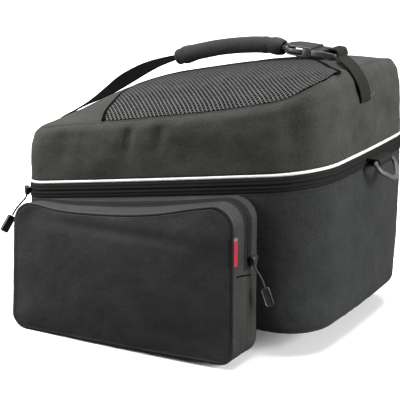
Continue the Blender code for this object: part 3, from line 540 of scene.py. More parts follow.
class NodeKit:
    """Builds one node material on its Principled shader."""

    def __init__(self, name: str) -> None:
        """Starts a material.

        Args:
            name: Name of the material.
        """
        self.material = bpy.data.materials.new(name)
        self.material.use_nodes = True
        self.nodes = self.material.node_tree.nodes
        self.links = self.material.node_tree.links
        self.shader = self.nodes["Principled BSDF"]

    def add(self, kind: str, **settings: object) -> bpy.types.Node:
        """Adds a node and sets its properties.

        Args:
            kind: The node's kind.
            settings: Its properties.

        Returns:
            The node.
        """
        node = self.nodes.new("ShaderNode" + kind)
        for key, value in settings.items():
            setattr(node, key, value)
        return node

    def plug(self, target: Socket, value: object) -> None:
        """Links a socket or sets its number.

        Args:
            target: The socket to feed.
            value: A socket or a number.
        """
        if isinstance(value, Socket):
            self.links.new(value, target)
        else:
            target.default_value = value

    def math(self, operation: str, first: object, second: object = 0.0) -> Socket:
        """Adds a Math node and gives its result.

        Args:
            operation: What it does.
            first: A socket or a number.
            second: Another, where it takes two.

        Returns:
            The result.
        """
        node = self.add("Math", operation=operation)
        self.plug(node.inputs[0], first)
        self.plug(node.inputs[1], second)
        return node.outputs[0]

    def times(self, first: object, second: object) -> Socket:
        """Multiplies two values."""
        return self.math("MULTIPLY", first, second)

    def plus(self, first: object, second: object) -> Socket:
        """Adds two values."""
        return self.math("ADD", first, second)

    def metres(self) -> tuple[Socket, Socket]:
        """Gives the metres across and up the cloth.

        Returns:
            The metres across and the metres up.
        """
        split = self.add("SeparateXYZ")
        self.links.new(self.add("UVMap").outputs["UV"], split.inputs[0])
        return split.outputs["X"], split.outputs["Y"]

    def place(self) -> Socket:
        """Gives the place on the object in metres."""
        return self.add("TexCoord").outputs["Object"]

    def grain(self, size: float, detail: float = 2.0, rough: float = 0.5) -> Socket:
        """Adds noise of a real size.

        Args:
            size: Size of its grains in metres.
            detail: How many finer layers it has.
            rough: How strong the finer layers are.

        Returns:
            The noise, between 0 and 1.
        """
        node = self.add("TexNoise")
        self.links.new(self.place(), node.inputs["Vector"])
        node.inputs["Scale"].default_value = 1.0 / size
        node.inputs["Detail"].default_value = detail
        node.inputs["Roughness"].default_value = rough
        return node.outputs["Fac"]

    def ribs(self, along: Socket, pitch: float) -> Socket:
        """Gives even ribs between 0 and 1 along a run of metres."""
        wave = self.math("SINE", self.math("MULTIPLY", along, 2 * math.pi / pitch))
        return self.math("ADD", self.math("MULTIPLY", wave, 0.5), 0.5)

    def blend(self, share: object, first: Point, second: Point) -> Socket:
        """Mixes two colours.

        Args:
            share: 0 for the first colour and 1 for the second.
            first: A colour, or the socket of one.
            second: A colour, or the socket of one.

        Returns:
            The mixed colour.
        """
        node = self.add("Mix", data_type="RGBA")
        self.plug(node.inputs["Factor"], share)
        for socket, colour in ((node.inputs[6], first), (node.inputs[7], second)):
            self.plug(socket, colour if isinstance(colour, Socket) else (*colour, 1.0))
        return node.outputs[2]

    def paint(self, share: object, first: Point, second: Point) -> None:
        """Gives the shader a mix of two colours."""
        self.links.new(self.blend(share, first, second), self.shader.inputs["Base Color"])

    def spread(self, value: object, low: float, high: float) -> Socket:
        """Stretches a value so that low becomes 0 and high becomes 1, held between them.

        Args:
            value: What is stretched.
            low: What becomes 0.
            high: What becomes 1.

        Returns:
            The stretched value.
        """
        node = self.add("MapRange")
        self.plug(node.inputs["Value"], value)
        node.inputs["From Min"].default_value = low
        node.inputs["From Max"].default_value = high
        return node.outputs["Result"]

    def bump(self, height: Socket, depth: float, strength: float = 1.0) -> None:
        """Adds relief to the shader, over what it already has.

        Args:
            height: The relief, 0 to 1.
            depth: Its depth in metres.
            strength: Share of the relief that shows.
        """
        node = self.add("Bump")
        node.inputs["Strength"].default_value = strength
        node.inputs["Distance"].default_value = depth
        self.links.new(height, node.inputs["Height"])
        target = self.shader.inputs["Normal"]
        if target.is_linked:
            self.links.new(target.links[0].from_socket, node.inputs["Normal"])
        self.links.new(node.outputs["Normal"], target)

    def set(self, **values: float) -> None:
        """Sets the shader's own sockets, with underscores for spaces."""
        for key, value in values.items():
            self.shader.inputs[key.replace("_", " ")].default_value = value


@dataclass(frozen=True)
class ClothFinish:
    """Woven cloth with real threads and mottling."""

    name: str
    colour: Point
    light: Point
    weave: Weave = Weave.PLAIN
    pitch: float = 0.0009
    thread_depth: float = 0.00012
    mottle: float = 0.34
    speckle: float = 0.55
    mottle_size: float = 0.030
    rough: float = 0.86
    sheen: float = 0.06
    rib_pitch: float = 0.0

    def material(self) -> Finish:
        """Builds the cloth's material.

        Returns:
            The material.
        """
        kit = NodeKit(self.name)
        u, v = kit.metres()
        if self.weave is Weave.DIAGONAL:
            threads = kit.ribs(kit.plus(u, v), self.pitch)
        else:
            threads = kit.times(kit.ribs(u, self.pitch), kit.ribs(v, self.pitch))
        fuzz = kit.grain(0.0017, 3.0, 0.75)
        clouds = kit.grain(self.mottle_size, 3.0, 0.55)
        speckle = kit.spread(fuzz, 0.34, 0.68)
        share = kit.times(kit.spread(clouds, 0.32, 0.70), self.mottle)
        share = kit.plus(share, kit.times(speckle, self.speckle))
        share = kit.plus(share, kit.times(threads, 0.16))
        if self.rib_pitch:
            share = kit.plus(share, kit.times(kit.ribs(u, self.rib_pitch), 0.16))
        kit.paint(share, self.colour, self.light)
        kit.set(Roughness=self.rough, Sheen_Weight=self.sheen, Sheen_Roughness=0.40, Specular_IOR_Level=0.12)
        kit.bump(threads, self.thread_depth, 0.8)
        kit.bump(fuzz, 0.0006, 0.9)
        kit.bump(kit.grain(0.011, 2.0), 0.0014, 0.6)
        return kit.material


@dataclass(frozen=True)
class NetFinish:
    """Air mesh: light slanting ribs with rows of dark holes between them; the holes' dark is partly painted
    shade, and the net is painted darker away from the seam as painted shade.
    """

    name: str = "air_mesh"
    # Colour of the holes: the dark cloth under the net, deepened by painted shade.
    hole: Point = (0.0015, 0.0015, 0.0015)
    rib: Point = (0.165, 0.167, 0.165)
    pitch: float = 0.0034
    hole_pitch: float = 0.0039
    plain_y: float = -0.030
    open_y: float = -0.100
    slant: float = -45.0

    def material(self) -> Finish:
        """Builds the net's material.

        Returns:
            The material.
        """
        kit = NodeKit(self.name)
        u, v = kit.metres()
        turn = math.radians(self.slant)
        along = kit.plus(kit.times(u, math.cos(turn)), kit.times(v, math.sin(turn)))
        across = kit.math("SUBTRACT", kit.times(v, math.cos(turn)), kit.times(u, math.sin(turn)))
        drift = kit.times(kit.grain(0.030, 1.0), 0.0012)
        ribs = kit.ribs(kit.plus(across, drift), self.pitch)
        holes = kit.ribs(along, self.hole_pitch)
        near = kit.spread(v, self.plain_y, self.open_y)
        patches = kit.spread(kit.grain(0.016, 2.0, 0.6), 0.36, 0.62)
        depth = kit.times(kit.plus(kit.times(patches, 0.30), 0.62), near)
        line = kit.times(kit.spread(ribs, 0.56, 0.90), 0.92)
        cross = kit.times(kit.spread(holes, 0.62, 0.84), 0.62)
        open_share = kit.math("SUBTRACT", 1.0, kit.math("MAXIMUM", line, cross))
        rim = kit.spread(v, self.plain_y + 0.001, self.plain_y + 0.005)
        open_depth = kit.math("MAXIMUM", kit.plus(depth, 0.42), rim)
        web = kit.math("SUBTRACT", 1.0, kit.times(open_share, open_depth))
        fuzz = kit.spread(kit.grain(0.0016, 3.0, 0.6), 0.30, 0.75)
        shade = kit.times(web, kit.plus(kit.times(fuzz, 0.50), 0.38))
        # Painted shade: the net's colour is darkened away from the seam, towards the ridge.
        shade = kit.times(shade, kit.plus(kit.times(near, 0.66), 0.36))
        kit.paint(shade, self.hole, self.rib)
        kit.set(Roughness=0.85, Sheen_Weight=0.0, Specular_IOR_Level=0.02)
        kit.bump(web, 0.0008, 0.9)
        kit.bump(fuzz, 0.0002, 0.6)
        return kit.material


@dataclass(frozen=True)
class FilmFinish:
    """Pale reflective film on the piping, rubbed and crazed."""

    name: str = "reflective_film"
    colour: Point = (0.74, 0.74, 0.73)
    worn: Point = (0.34, 0.34, 0.34)

    def material(self) -> Finish:
        """Builds the film's material.

        Returns:
            The material.
        """
        kit = NodeKit(self.name)
        u, _ = kit.metres()
        fine = kit.grain(0.0016, 4.0, 0.7)
        creases = kit.ribs(kit.plus(u, kit.times(fine, 0.0016)), 0.0024)
        rub = kit.times(kit.spread(fine, 0.45, 0.72), 0.55)
        rub = kit.plus(rub, kit.times(creases, 0.12))
        kit.paint(rub, self.colour, self.worn)
        kit.set(Roughness=0.42, Specular_IOR_Level=0.55, Coat_Weight=0.12)
        kit.bump(creases, 0.00016, 0.7)
        kit.bump(fine, 0.0003, 0.6)
        return kit.material


@dataclass(frozen=True)
class TapeFinish:
    """Narrow woven tape: ribs across it, with fine lines along it."""

    name: str
    colour: Point
    light: Point
    rib: float = 0.0011
    line: float = 0.0023
    rough: float = 0.70
    sheen: float = 0.02
    gloss: float = 0.08

    def material(self) -> Finish:
        """Builds the tape's material.

        Returns:
            The material.
        """
        kit = NodeKit(self.name)
        u, v = kit.metres()
        cross = kit.ribs(u, self.rib)
        lines = kit.ribs(v, self.line)
        herring = kit.ribs(kit.plus(u, kit.times(lines, self.rib * 0.6)), self.rib)
        weave = kit.times(kit.plus(cross, herring), 0.5)
        fuzz = kit.spread(kit.grain(0.0012, 3.0, 0.65), 0.32, 0.72)
        share = kit.plus(kit.times(weave, 0.45), kit.times(fuzz, 0.35))
        share = kit.plus(share, kit.times(lines, 0.14))
        kit.paint(share, self.colour, self.light)
        kit.set(Roughness=self.rough, Sheen_Weight=self.sheen, Specular_IOR_Level=self.gloss)
        kit.bump(weave, 0.00022, 0.9)
        kit.bump(lines, 0.00018, 0.6)
        kit.bump(fuzz, 0.0001, 0.5)
        return kit.material


@dataclass(frozen=True)
class MouldedFinish:
    """Moulded plastic with fine spark grain and rubbed spots."""

    name: str
    colour: Point
    light: Point
    rough: float = 0.38

    def material(self) -> Finish:
        """Builds the plastic's material.

        Returns:
            The material.
        """
        kit = NodeKit(self.name)
        fine = kit.grain(0.0007, 2.0, 0.6)
        rub = kit.spread(kit.grain(0.006, 3.0, 0.6), 0.45, 0.8)
        kit.paint(kit.times(rub, 0.6), self.colour, self.light)
        gloss = kit.plus(kit.times(rub, 0.14), self.rough)
        kit.links.new(gloss, kit.shader.inputs["Roughness"])
        kit.set(Specular_IOR_Level=0.5)
        kit.bump(fine, 0.00008, 0.5)
        return kit.material


@dataclass(frozen=True)
class FloorFinish:
    """Plain pale studio floor with a faint tooth."""

    name: str = "studio_floor"
    colour: Point = (0.90, 0.90, 0.90)

    def material(self) -> Finish:
        """Builds the floor's material.

        Returns:
            The material.
        """
        kit = NodeKit(self.name)
        shade = kit.times(kit.grain(0.4, 2.0), 0.2)
        kit.paint(shade, self.colour, (0.88, 0.88, 0.88))
        kit.set(Roughness=0.9, Specular_IOR_Level=0.1)
        return kit.material


@dataclass(frozen=True)
class FinishShelf:
    """Every finish of the bag, built once and handed to the sub-assemblies."""

    shell: Finish
    pocket: Finish
    gusset: Finish
    lid: Finish
    net: Finish
    film: Finish
    tape: Finish
    webbing: Finish
    lit_webbing: Finish
    # Lighter copy of the black webbing, painted light.
    stub: Finish
    grip: Finish
    plastic: Finish
    ring: Finish
    plate: Finish
    tag: Finish
    thread: Finish
    cord: Finish
    floor: Finish

    @classmethod
    def stocked(cls) -> "FinishShelf":
        """Builds all the finishes.

        Returns:
            The shelf.
        """
        recipes = dict(
            shell=ClothFinish(
                "shell_cloth", (0.010, 0.0104, 0.0108), (0.030, 0.031, 0.031), rib_pitch=0.0026
            ),
            pocket=ClothFinish(
                "pocket_cloth", (0.014, 0.0144, 0.0138), (0.038, 0.0385, 0.037), Weave.DIAGONAL, 0.0030
            ),
            gusset=ClothFinish(
                "gusset_cloth", (0.014, 0.0144, 0.0136), (0.040, 0.0408, 0.0385), sheen=0.01
            ),
            lid=ClothFinish("lid_cloth", (0.018, 0.0183, 0.0160), (0.048, 0.0488, 0.0436)),
            net=NetFinish(),
            film=FilmFinish(),
            tape=TapeFinish(
                "zip_tape", (0.0010, 0.0010, 0.0010), (0.026, 0.026, 0.0255),
                0.0026, 0.0023, sheen=0.0, gloss=0.04
            ),
            webbing=TapeFinish(
                "webbing", (0.0006, 0.0006, 0.0006), (0.0036, 0.0036, 0.0035),
                0.0022, 0.0032, sheen=0.0, gloss=0.02
            ),
            # A lighter copy of the black webbing: painted light on the lit rear strap and ring tab.
            lit_webbing=TapeFinish(
                "lit_webbing", (0.0025, 0.0025, 0.0023), (0.034, 0.035, 0.031),
                0.0026, 0.0034, sheen=0.0, gloss=0.03
            ),
            stub=TapeFinish("pale_webbing", (0.06, 0.06, 0.06), (0.20, 0.20, 0.195), 0.0012, 0.0022),
            grip=ClothFinish(
                "grip_cloth", (0.015, 0.015, 0.0152), (0.036, 0.036, 0.0355),
                mottle_size=0.05, rough=0.6, speckle=0.3
            ),
            plastic=MouldedFinish("moulded_plastic", (0.020, 0.020, 0.0205), (0.060, 0.060, 0.061), 0.30),
            # Also serves as painted highlights on the buckle's prong arms and bar.
            ring=MouldedFinish("ring_plastic", (0.055, 0.055, 0.058), (0.115, 0.115, 0.118), 0.34),
            plate=MouldedFinish("plate_plastic", (0.010, 0.010, 0.011), (0.026, 0.026, 0.027), 0.5),
            tag=TapeFinish("tag_ribbon", (0.20, 0.007, 0.018), (0.36, 0.035, 0.050), 0.0012, 0.0020, 0.6),
            thread=MouldedFinish("sewing_thread", (0.012, 0.012, 0.012), (0.036, 0.036, 0.035), 0.6),
            cord=TapeFinish("pull_cord", (0.014, 0.014, 0.014), (0.070, 0.070, 0.068), 0.0014, 0.0010),
            floor=FloorFinish(),
        )
        return cls(**{name: recipe.material() for name, recipe in recipes.items()})


@dataclass
class SubAssembly:
    """A part of the scene that is made with the shelf's finishes."""

    finishes: FinishShelf


@dataclass(frozen=True)
class StudioLight:
    """A soft light: where it stands, what it looks at, its side (or spread in degrees) and its power."""

    name: str
    place: Point
    target: Point
    side: float
    power: float
    kind: LightKind = LightKind.AREA

    def build(self) -> None:
        """Places the light."""
        lamp = bpy.data.lights.new(self.name, self.kind.value)
        if self.kind is LightKind.AREA:
            lamp.size = self.side
        else:
            lamp.angle = math.radians(self.side)
        lamp.energy = self.power
        item = placed(self.name, lamp)
        item.location = self.place
        item.rotation_euler = (Vector(self.target) - Vector(self.place)).to_track_quat("-Z", "Y").to_euler()


@dataclass
class Studio(SubAssembly):
    """Camera, floor and soft lights."""

    camera_place: Point = (0.6978, -1.2886, 0.5101)
    pitch: float = 14.9
    azimuth: float = 29.2
    lens: float = 120.6
    floor_side: float = 26.0
    floor_flat: float = 9.75
    sky: float = 0.19

    def camera(self) -> None:
        """Sets up the camera at the photograph's angle."""
        data = bpy.data.cameras.new("camera")
        data.lens = self.lens
        data.sensor_width = 36.0
        data.clip_end = 60.0
        item = placed("camera", data)
        item.location = self.camera_place
        item.rotation_euler = (math.radians(90.0 - self.pitch), 0.0, math.radians(self.azimuth))
        bpy.context.scene.camera = item

    def floor(self) -> None:
        """Lays the pale floor, which slopes up far from the bag."""
        half = self.floor_side / 2
        run = np.linspace(-half, half, 9)
        x, y = np.meshgrid(run, run)
        rise = np.clip(np.maximum(np.abs(x), np.abs(y)) - self.floor_flat, 0.0, None)
        rows = np.stack([x, y, rise], axis=-1)
        floor = sheet_object("studio_floor", rows, rows[..., :2], False, self.finishes.floor)
        floor.visible_diffuse = False
        floor.visible_glossy = False
        floor.visible_shadow = False

    def lights(self) -> None:
        """Places the lights and the pale surroundings."""
        world = bpy.data.worlds.new("studio")
        world.use_nodes = True
        backdrop = world.node_tree.nodes["Background"]
        backdrop.inputs["Color"].default_value = (1.0, 1.0, 1.0, 1.0)
        backdrop.inputs["Strength"].default_value = self.sky
        bpy.context.scene.world = world
        for light in (
            StudioLight("overhead", (-0.15, 0.05, 1.0), (0.0, 0.0, 0.0), 56.0, 7.0, LightKind.SUN),
            StudioLight("key_light", (-0.64, -0.50, 0.44), (-0.14, -0.06, 0.16), 0.40, 8.5),
            StudioLight("rear_light", (2.10, -0.10, 0.75), (0.1, 0.0, 0.15), 1.0, 92.0),
        ):
            light.build()
        bpy.context.scene.view_settings.view_transform = "Standard"

    def build(self) -> None:
        """Builds the whole studio."""
        self.camera()
        self.floor()
        self.lights()
        LOG.info("studio: camera, floor and three soft lights")


@dataclass(frozen=True)
class Pull:
    """A slider's pull: its name, its eye and the cord's route from the eye."""

    name: str
    eye: Point
    route: tuple[Point, ...]


@dataclass
class PullCords(SubAssembly):
    """The two sliders' twisted cords and their moulded tabs."""

    diameter: float = 0.0024
    plies: int = 2
    lay: float = 0.0042
    tab_length: float = 0.0200
    tab_width: float = 0.0088
    tab_thickness: float = 0.0046
    tab_corner: float = 0.0022
    sides: int = 14
    tab_profile: Pairs = (
        (0.0, -0.62), (0.62, -0.62), (0.78, -0.66), (0.84, -1.0), (0.95, -0.98), (1.0, -0.72),
        (1.0, 0.72), (0.95, 0.98), (0.84, 1.0), (0.78, 0.66), (0.62, 0.62), (0.0, 0.62),
    )
    main: Pull = Pull(
        "main",
        (-0.17378, -0.12378, 0.13779),
        (
            (0.0, 0.0, 0.0013), (0.0, 0.0, -0.0047), (-0.0010, -0.0016, -0.0087),
            (-0.0038, -0.0060, -0.0137), (-0.0070, -0.0112, -0.0197), (-0.0094, -0.0154, -0.0267),
        ),
    )
    pocket: Pull = Pull(
        "pocket",
        (0.1239, -0.15058, 0.1090),
        (
            (0.0, 0.0, 0.0015), (0.0, 0.0, -0.0048), (0.0013, 0.0003, -0.0090),
            (0.0045, 0.0012, -0.0140), (0.0077, 0.0022, -0.0200), (0.0101, 0.0030, -0.0275),
        ),
    )

    def cord(self, pull: Pull) -> tuple[Piece, Grid]:
        """Twists a cord along its route.

        Args:
            pull: The pull it belongs to.

        Returns:
            The cord and the points that it follows.
        """
        knots = [tuple(np.array(pull.eye) + np.array(step)) for step in pull.route]
        path = smooth_path(knots, 20)
        fine = smooth_path(knots, 90)
        run = run_length(fine)
        ahead = directions(fine)
        side = np.cross(ahead, [0.31, 0.92, 0.13])
        side /= np.linalg.norm(side, axis=1, keepdims=True)
        other = np.cross(ahead, side)
        rows = []
        for k in range(self.sides):
            angle = 2 * math.pi * k / self.sides
            lobe = np.cos(self.plies * (angle - 2 * math.pi * run / self.lay / self.plies))
            radius = (self.diameter / 2) * (0.90 + 0.10 * lobe)
            rows.append(fine + radius[:, None] * (math.cos(angle) * side + math.sin(angle) * other))
        grid = np.stack(rows, axis=1)
        root, tip = (np.stack([end] * self.sides, axis=1) for end in (fine[:1], fine[-1:]))
        grid = np.concatenate([root, grid, tip])
        across = np.linspace(0.0, math.pi * self.diameter, self.sides + 1)
        uv = metres_grid(across, np.concatenate([[0], run, run[-1:]]))
        cord = sheet_object(pull.name + "_twisted_cord", grid, uv[..., ::-1], True, self.finishes.cord)
        return cord, path

    def tab(self, pull: Pull, path: Grid) -> Piece:
        """Moulds a tab with a raised rim round a shallow panel.

        Args:
            pull: The pull it belongs to.
            path: The cord's points.

        Returns:
            The tab.
        """
        ahead = Vector(path[-1] - path[-2]).normalized()
        turn = (-ahead).to_track_quat("Z", "Y")
        middle = Vector(path[-1]) + ahead * (self.tab_length / 2 + 0.0003)
        half = self.tab_width / 2
        reach = self.tab_length / 2
        outline = []
        for cx, cz, start in ((1, 1, 0), (-1, 1, 90), (-1, -1, 180), (1, -1, 270)):
            for a in np.radians(start + np.linspace(0, 90, 6)):
                x = cx * (half - self.tab_corner) + self.tab_corner * math.cos(a)
                outline.append((x, cz * (reach - self.tab_corner) + self.tab_corner * math.sin(a)))
        flat = np.array(outline)
        thick = self.tab_thickness / 2
        rows = []
        for scale, level in self.tab_profile:
            inset = (1.0 - scale) * half
            along = max(reach - inset, 0.0) / reach if scale else 0.0
            ring = flat * np.array([max(half - inset, 0.0) / half, along])
            rows.append([turn @ Vector((level * thick, x, z)) + middle for x, z in ring])
        grid = np.array([[tuple(p) for p in row] for row in rows])
        across = loop_length(grid[5])
        uv = metres_grid(across, np.linspace(0, 0.01, len(rows)))
        return sheet_object(pull.name + "_tab", grid, uv, True, self.finishes.plastic, True)

    def build(self) -> None:
        """Builds both pulls."""
        for pull in (self.main, self.pocket):
            cord, path = self.cord(pull)
            tab = self.tab(pull, path)
            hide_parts(pull.name + "_cord")
            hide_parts(pull.name + "_pull")
            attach(cord, "bag")
            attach(tab, "bag")
            LOG.info("%s pull: %.1f mm of cord", pull.name, run_length(path)[-1] * 1000)


@dataclass
class Tub(SubAssembly):
    """Padded tub: one soft wall with a rounded floor, and two rows of stitches under the zip."""

    taper: float = 0.0020
    bottom_round: float = 0.0125
    top_drop: float = 0.0172
    swell: float = 0.0016
    rim_inset: float = 0.0040
    rim_lift: float = 0.0004
    stitch_drops: tuple[tuple[str, float], ...] = (("upper", 0.0185), ("lower", 0.0228))
    dents: tuple[SoftPlace, ...] = (
        SoftPlace((0.168, -0.108, 0.080), (0.012, 0.012, 0.060), 0.0012),
        SoftPlace((0.184, 0.040, 0.060), (0.02, 0.05, 0.03), 0.0012),
        SoftPlace((0.150, -0.135, 0.045), (0.03, 0.02, 0.02), 0.0014, Side.OUT),
    )

    def wall(self) -> Piece:
        """Builds the soft wall and the floor.

        Returns:
            The wall.
        """
        base = FORM.plan(0.0)
        run = loop_length(base)
        rows: list[Grid] = []
        for scale in (0.0, 0.3, 0.6, 0.85, 0.97):
            ring = FORM.plan(self.taper + self.bottom_round) * scale
            rows.append(np.column_stack([ring, np.full(len(ring), FORM.bottom)]))
        for angle in np.radians(np.linspace(8, 90, 9)):
            ring = FORM.plan(self.taper + self.bottom_round * (1.0 - math.sin(angle)))
            level = FORM.bottom + self.bottom_round * (1.0 - math.cos(angle))
            rows.append(np.column_stack([ring, np.full(len(ring), level)]))
        low = FORM.bottom + self.bottom_round
        for share in np.linspace(0.03, 1.0, 46):
            ring = FORM.plan(self.taper * (1.0 - share))
            top = FORM.zip_line(ring[:, 0]) - self.top_drop
            rows.append(np.column_stack([ring, low + share * (top - low)]))
        rows.append(FORM.at_zip(FORM.plan(self.rim_inset), self.rim_lift - self.top_drop))
        grid = np.array(rows)
        up = rise_length(grid)

        def hold(share: Grid) -> Grid:
            """Keeps the floor and the sewn rim still."""
            return np.clip((share - 0.16) / 0.12, 0, 1) * np.clip((0.985 - share) / 0.05, 0, 1)

        normals = grid_normals(grid, True)
        share = np.linspace(0, 1, len(grid))
        puff = self.swell * np.sin(np.clip((share - 0.22) / 0.76, 0, 1) * math.pi) ** 0.7
        grid = grid + normals * puff[:, None, None]
        grid = soften(grid, True, 0.0007, 0.034, 3.1, self.dents, hold)
        return sheet_object("tub_wall", grid, metres_grid(run, up), True, self.finishes.shell, True)

    def build(self) -> None:
        """Builds the tub and sews its rim."""
        wall = self.wall()
        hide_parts("body_shell")
        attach(wall, "bag")
        base = FORM.plan(-0.0002)
        normals = plan_normals(base)
        for name, drop in self.stitch_drops:
            line = FORM.at_zip(base, -drop)
            line = np.concatenate([line, line[:1]])
            up = np.column_stack([normals, np.zeros(len(normals))])
            row = stitch_row("tub_stitches_" + name, line, np.concatenate([up, up[:1]]), self.finishes.thread)
            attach(row, "bag")
        refinish("carrier_plate", self.finishes.plate)
        LOG.info("tub: wall, floor, two rows of stitches, carrier plate")


@dataclass
class MainZip(SubAssembly):
    """Zip round three sides: two ribbed tapes with a groove between them, and the cloth hinge."""

    top_drop: float = 0.0026
    hinge_points: int = 20
    profile: Pairs = (
        (-0.06, -0.0012), (0.00, 0.0002), (0.04, 0.0009), (0.10, 0.0012), (0.16, 0.0011), (0.20, 0.0007),
        (0.24, 0.0011), (0.34, 0.0014), (0.42, 0.0013), (0.465, 0.0008), (0.485, 0.0000), (0.515, 0.0000),
        (0.535, 0.0008), (0.58, 0.0013), (0.66, 0.0014), (0.76, 0.0011), (0.80, 0.0007), (0.84, 0.0010),
        (0.92, 0.0011), (0.98, 0.0006), (1.04, -0.0010),
    )
    hinge_profile: Pairs = (
        (-0.05, -0.0008), (0.0, 0.0003), (0.12, 0.0009), (0.22, 0.0005), (0.5, 0.0007), (0.78, 0.0005),
        (0.88, 0.0009), (1.0, 0.0003), (1.05, -0.0008),
    )

    def band(self, name: str, profile: Pairs, start: int, stop: int, material: Finish) -> Piece:
        """Sweeps a strip's profile round part of the plan.

        Args:
            name: Name of the piece.
            profile: Height share and how far it stands out, from low to high.
            start: First point of the plan.
            stop: Point after the last, which may pass the end.
            material: Its finish.

        Returns:
            The strip.
        """
        plan = FORM.plan(0.0)
        normals = plan_normals(plan)
        picks = np.arange(start, stop) % len(plan)
        base, out = plan[picks], normals[picks]
        heights = []
        rows = []
        for share, proud in profile:
            xy = base + out * proud
            level = FORM.zip_line(base[:, 0]) - self.top_drop - FORM.zip_height * (1.0 - share)
            rows.append(np.column_stack([xy, level]))
            heights.append(share * FORM.zip_height)
        grid = np.array(rows)
        grid = soften(grid, False, 0.00022, 0.020, 7.7)
        return sheet_object(name, grid, metres_grid(run_length(base), np.array(heights)), False, material)

    def build(self) -> None:
        """Builds the zip and the hinge."""
        count = len(FORM.plan(0.0))
        band = self.band("main_zip_tapes", self.profile, 0, count - self.hinge_points + 1, self.finishes.tape)
        start = count - self.hinge_points
        hinge = self.band("hinge_strip", self.hinge_profile, start, count + 1, self.finishes.shell)
        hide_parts("zip_band", "zip_coil")
        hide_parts("lid_hinge")
        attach(band, "bag")
        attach(hinge, "bag")
        LOG.info("main zip: tapes and hinge strip")


@dataclass
class Piping(SubAssembly):
    """Pale reflective piping in the seam under the lid, with a slightly ragged lower edge."""

    sides: int = 14
    sink: float = 0.0008
    fill: float = 0.74
    wander_share: float = 0.035
    ragged_share: float = 0.16

    def build(self) -> None:
        """Builds the piping."""
        radius = FORM.piping / 2 * self.fill
        centre = FORM.plan(radius - self.sink, corner=28, side=300, end=150)
        out = plan_normals(centre)
        run = loop_length(centre)
        middle = FORM.at_zip(centre)
        wander = ripple(middle, 0.012, 5.5)
        ragged = ripple(middle, 0.0022, 9.1)
        rows = []
        for k in range(self.sides):
            angle = 2 * math.pi * k / self.sides - math.pi / 2
            low = max(0.0, -math.sin(angle))
            reach = radius * (1.0 + self.wander_share * wander + self.ragged_share * low * ragged)
            rows.append(middle + radial(out, angle) * reach[:, None])
        rows.append(rows[0])
        grid = np.array(rows)
        uv = metres_grid(run, np.linspace(0, 2 * math.pi * radius, self.sides + 1))
        piping = sheet_object("reflective_piping", grid, uv, True, self.finishes.film, True)
        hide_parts("piping")
        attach(piping, "bag")
        LOG.info("piping: %.0f mm round", run[-1] * 1000)


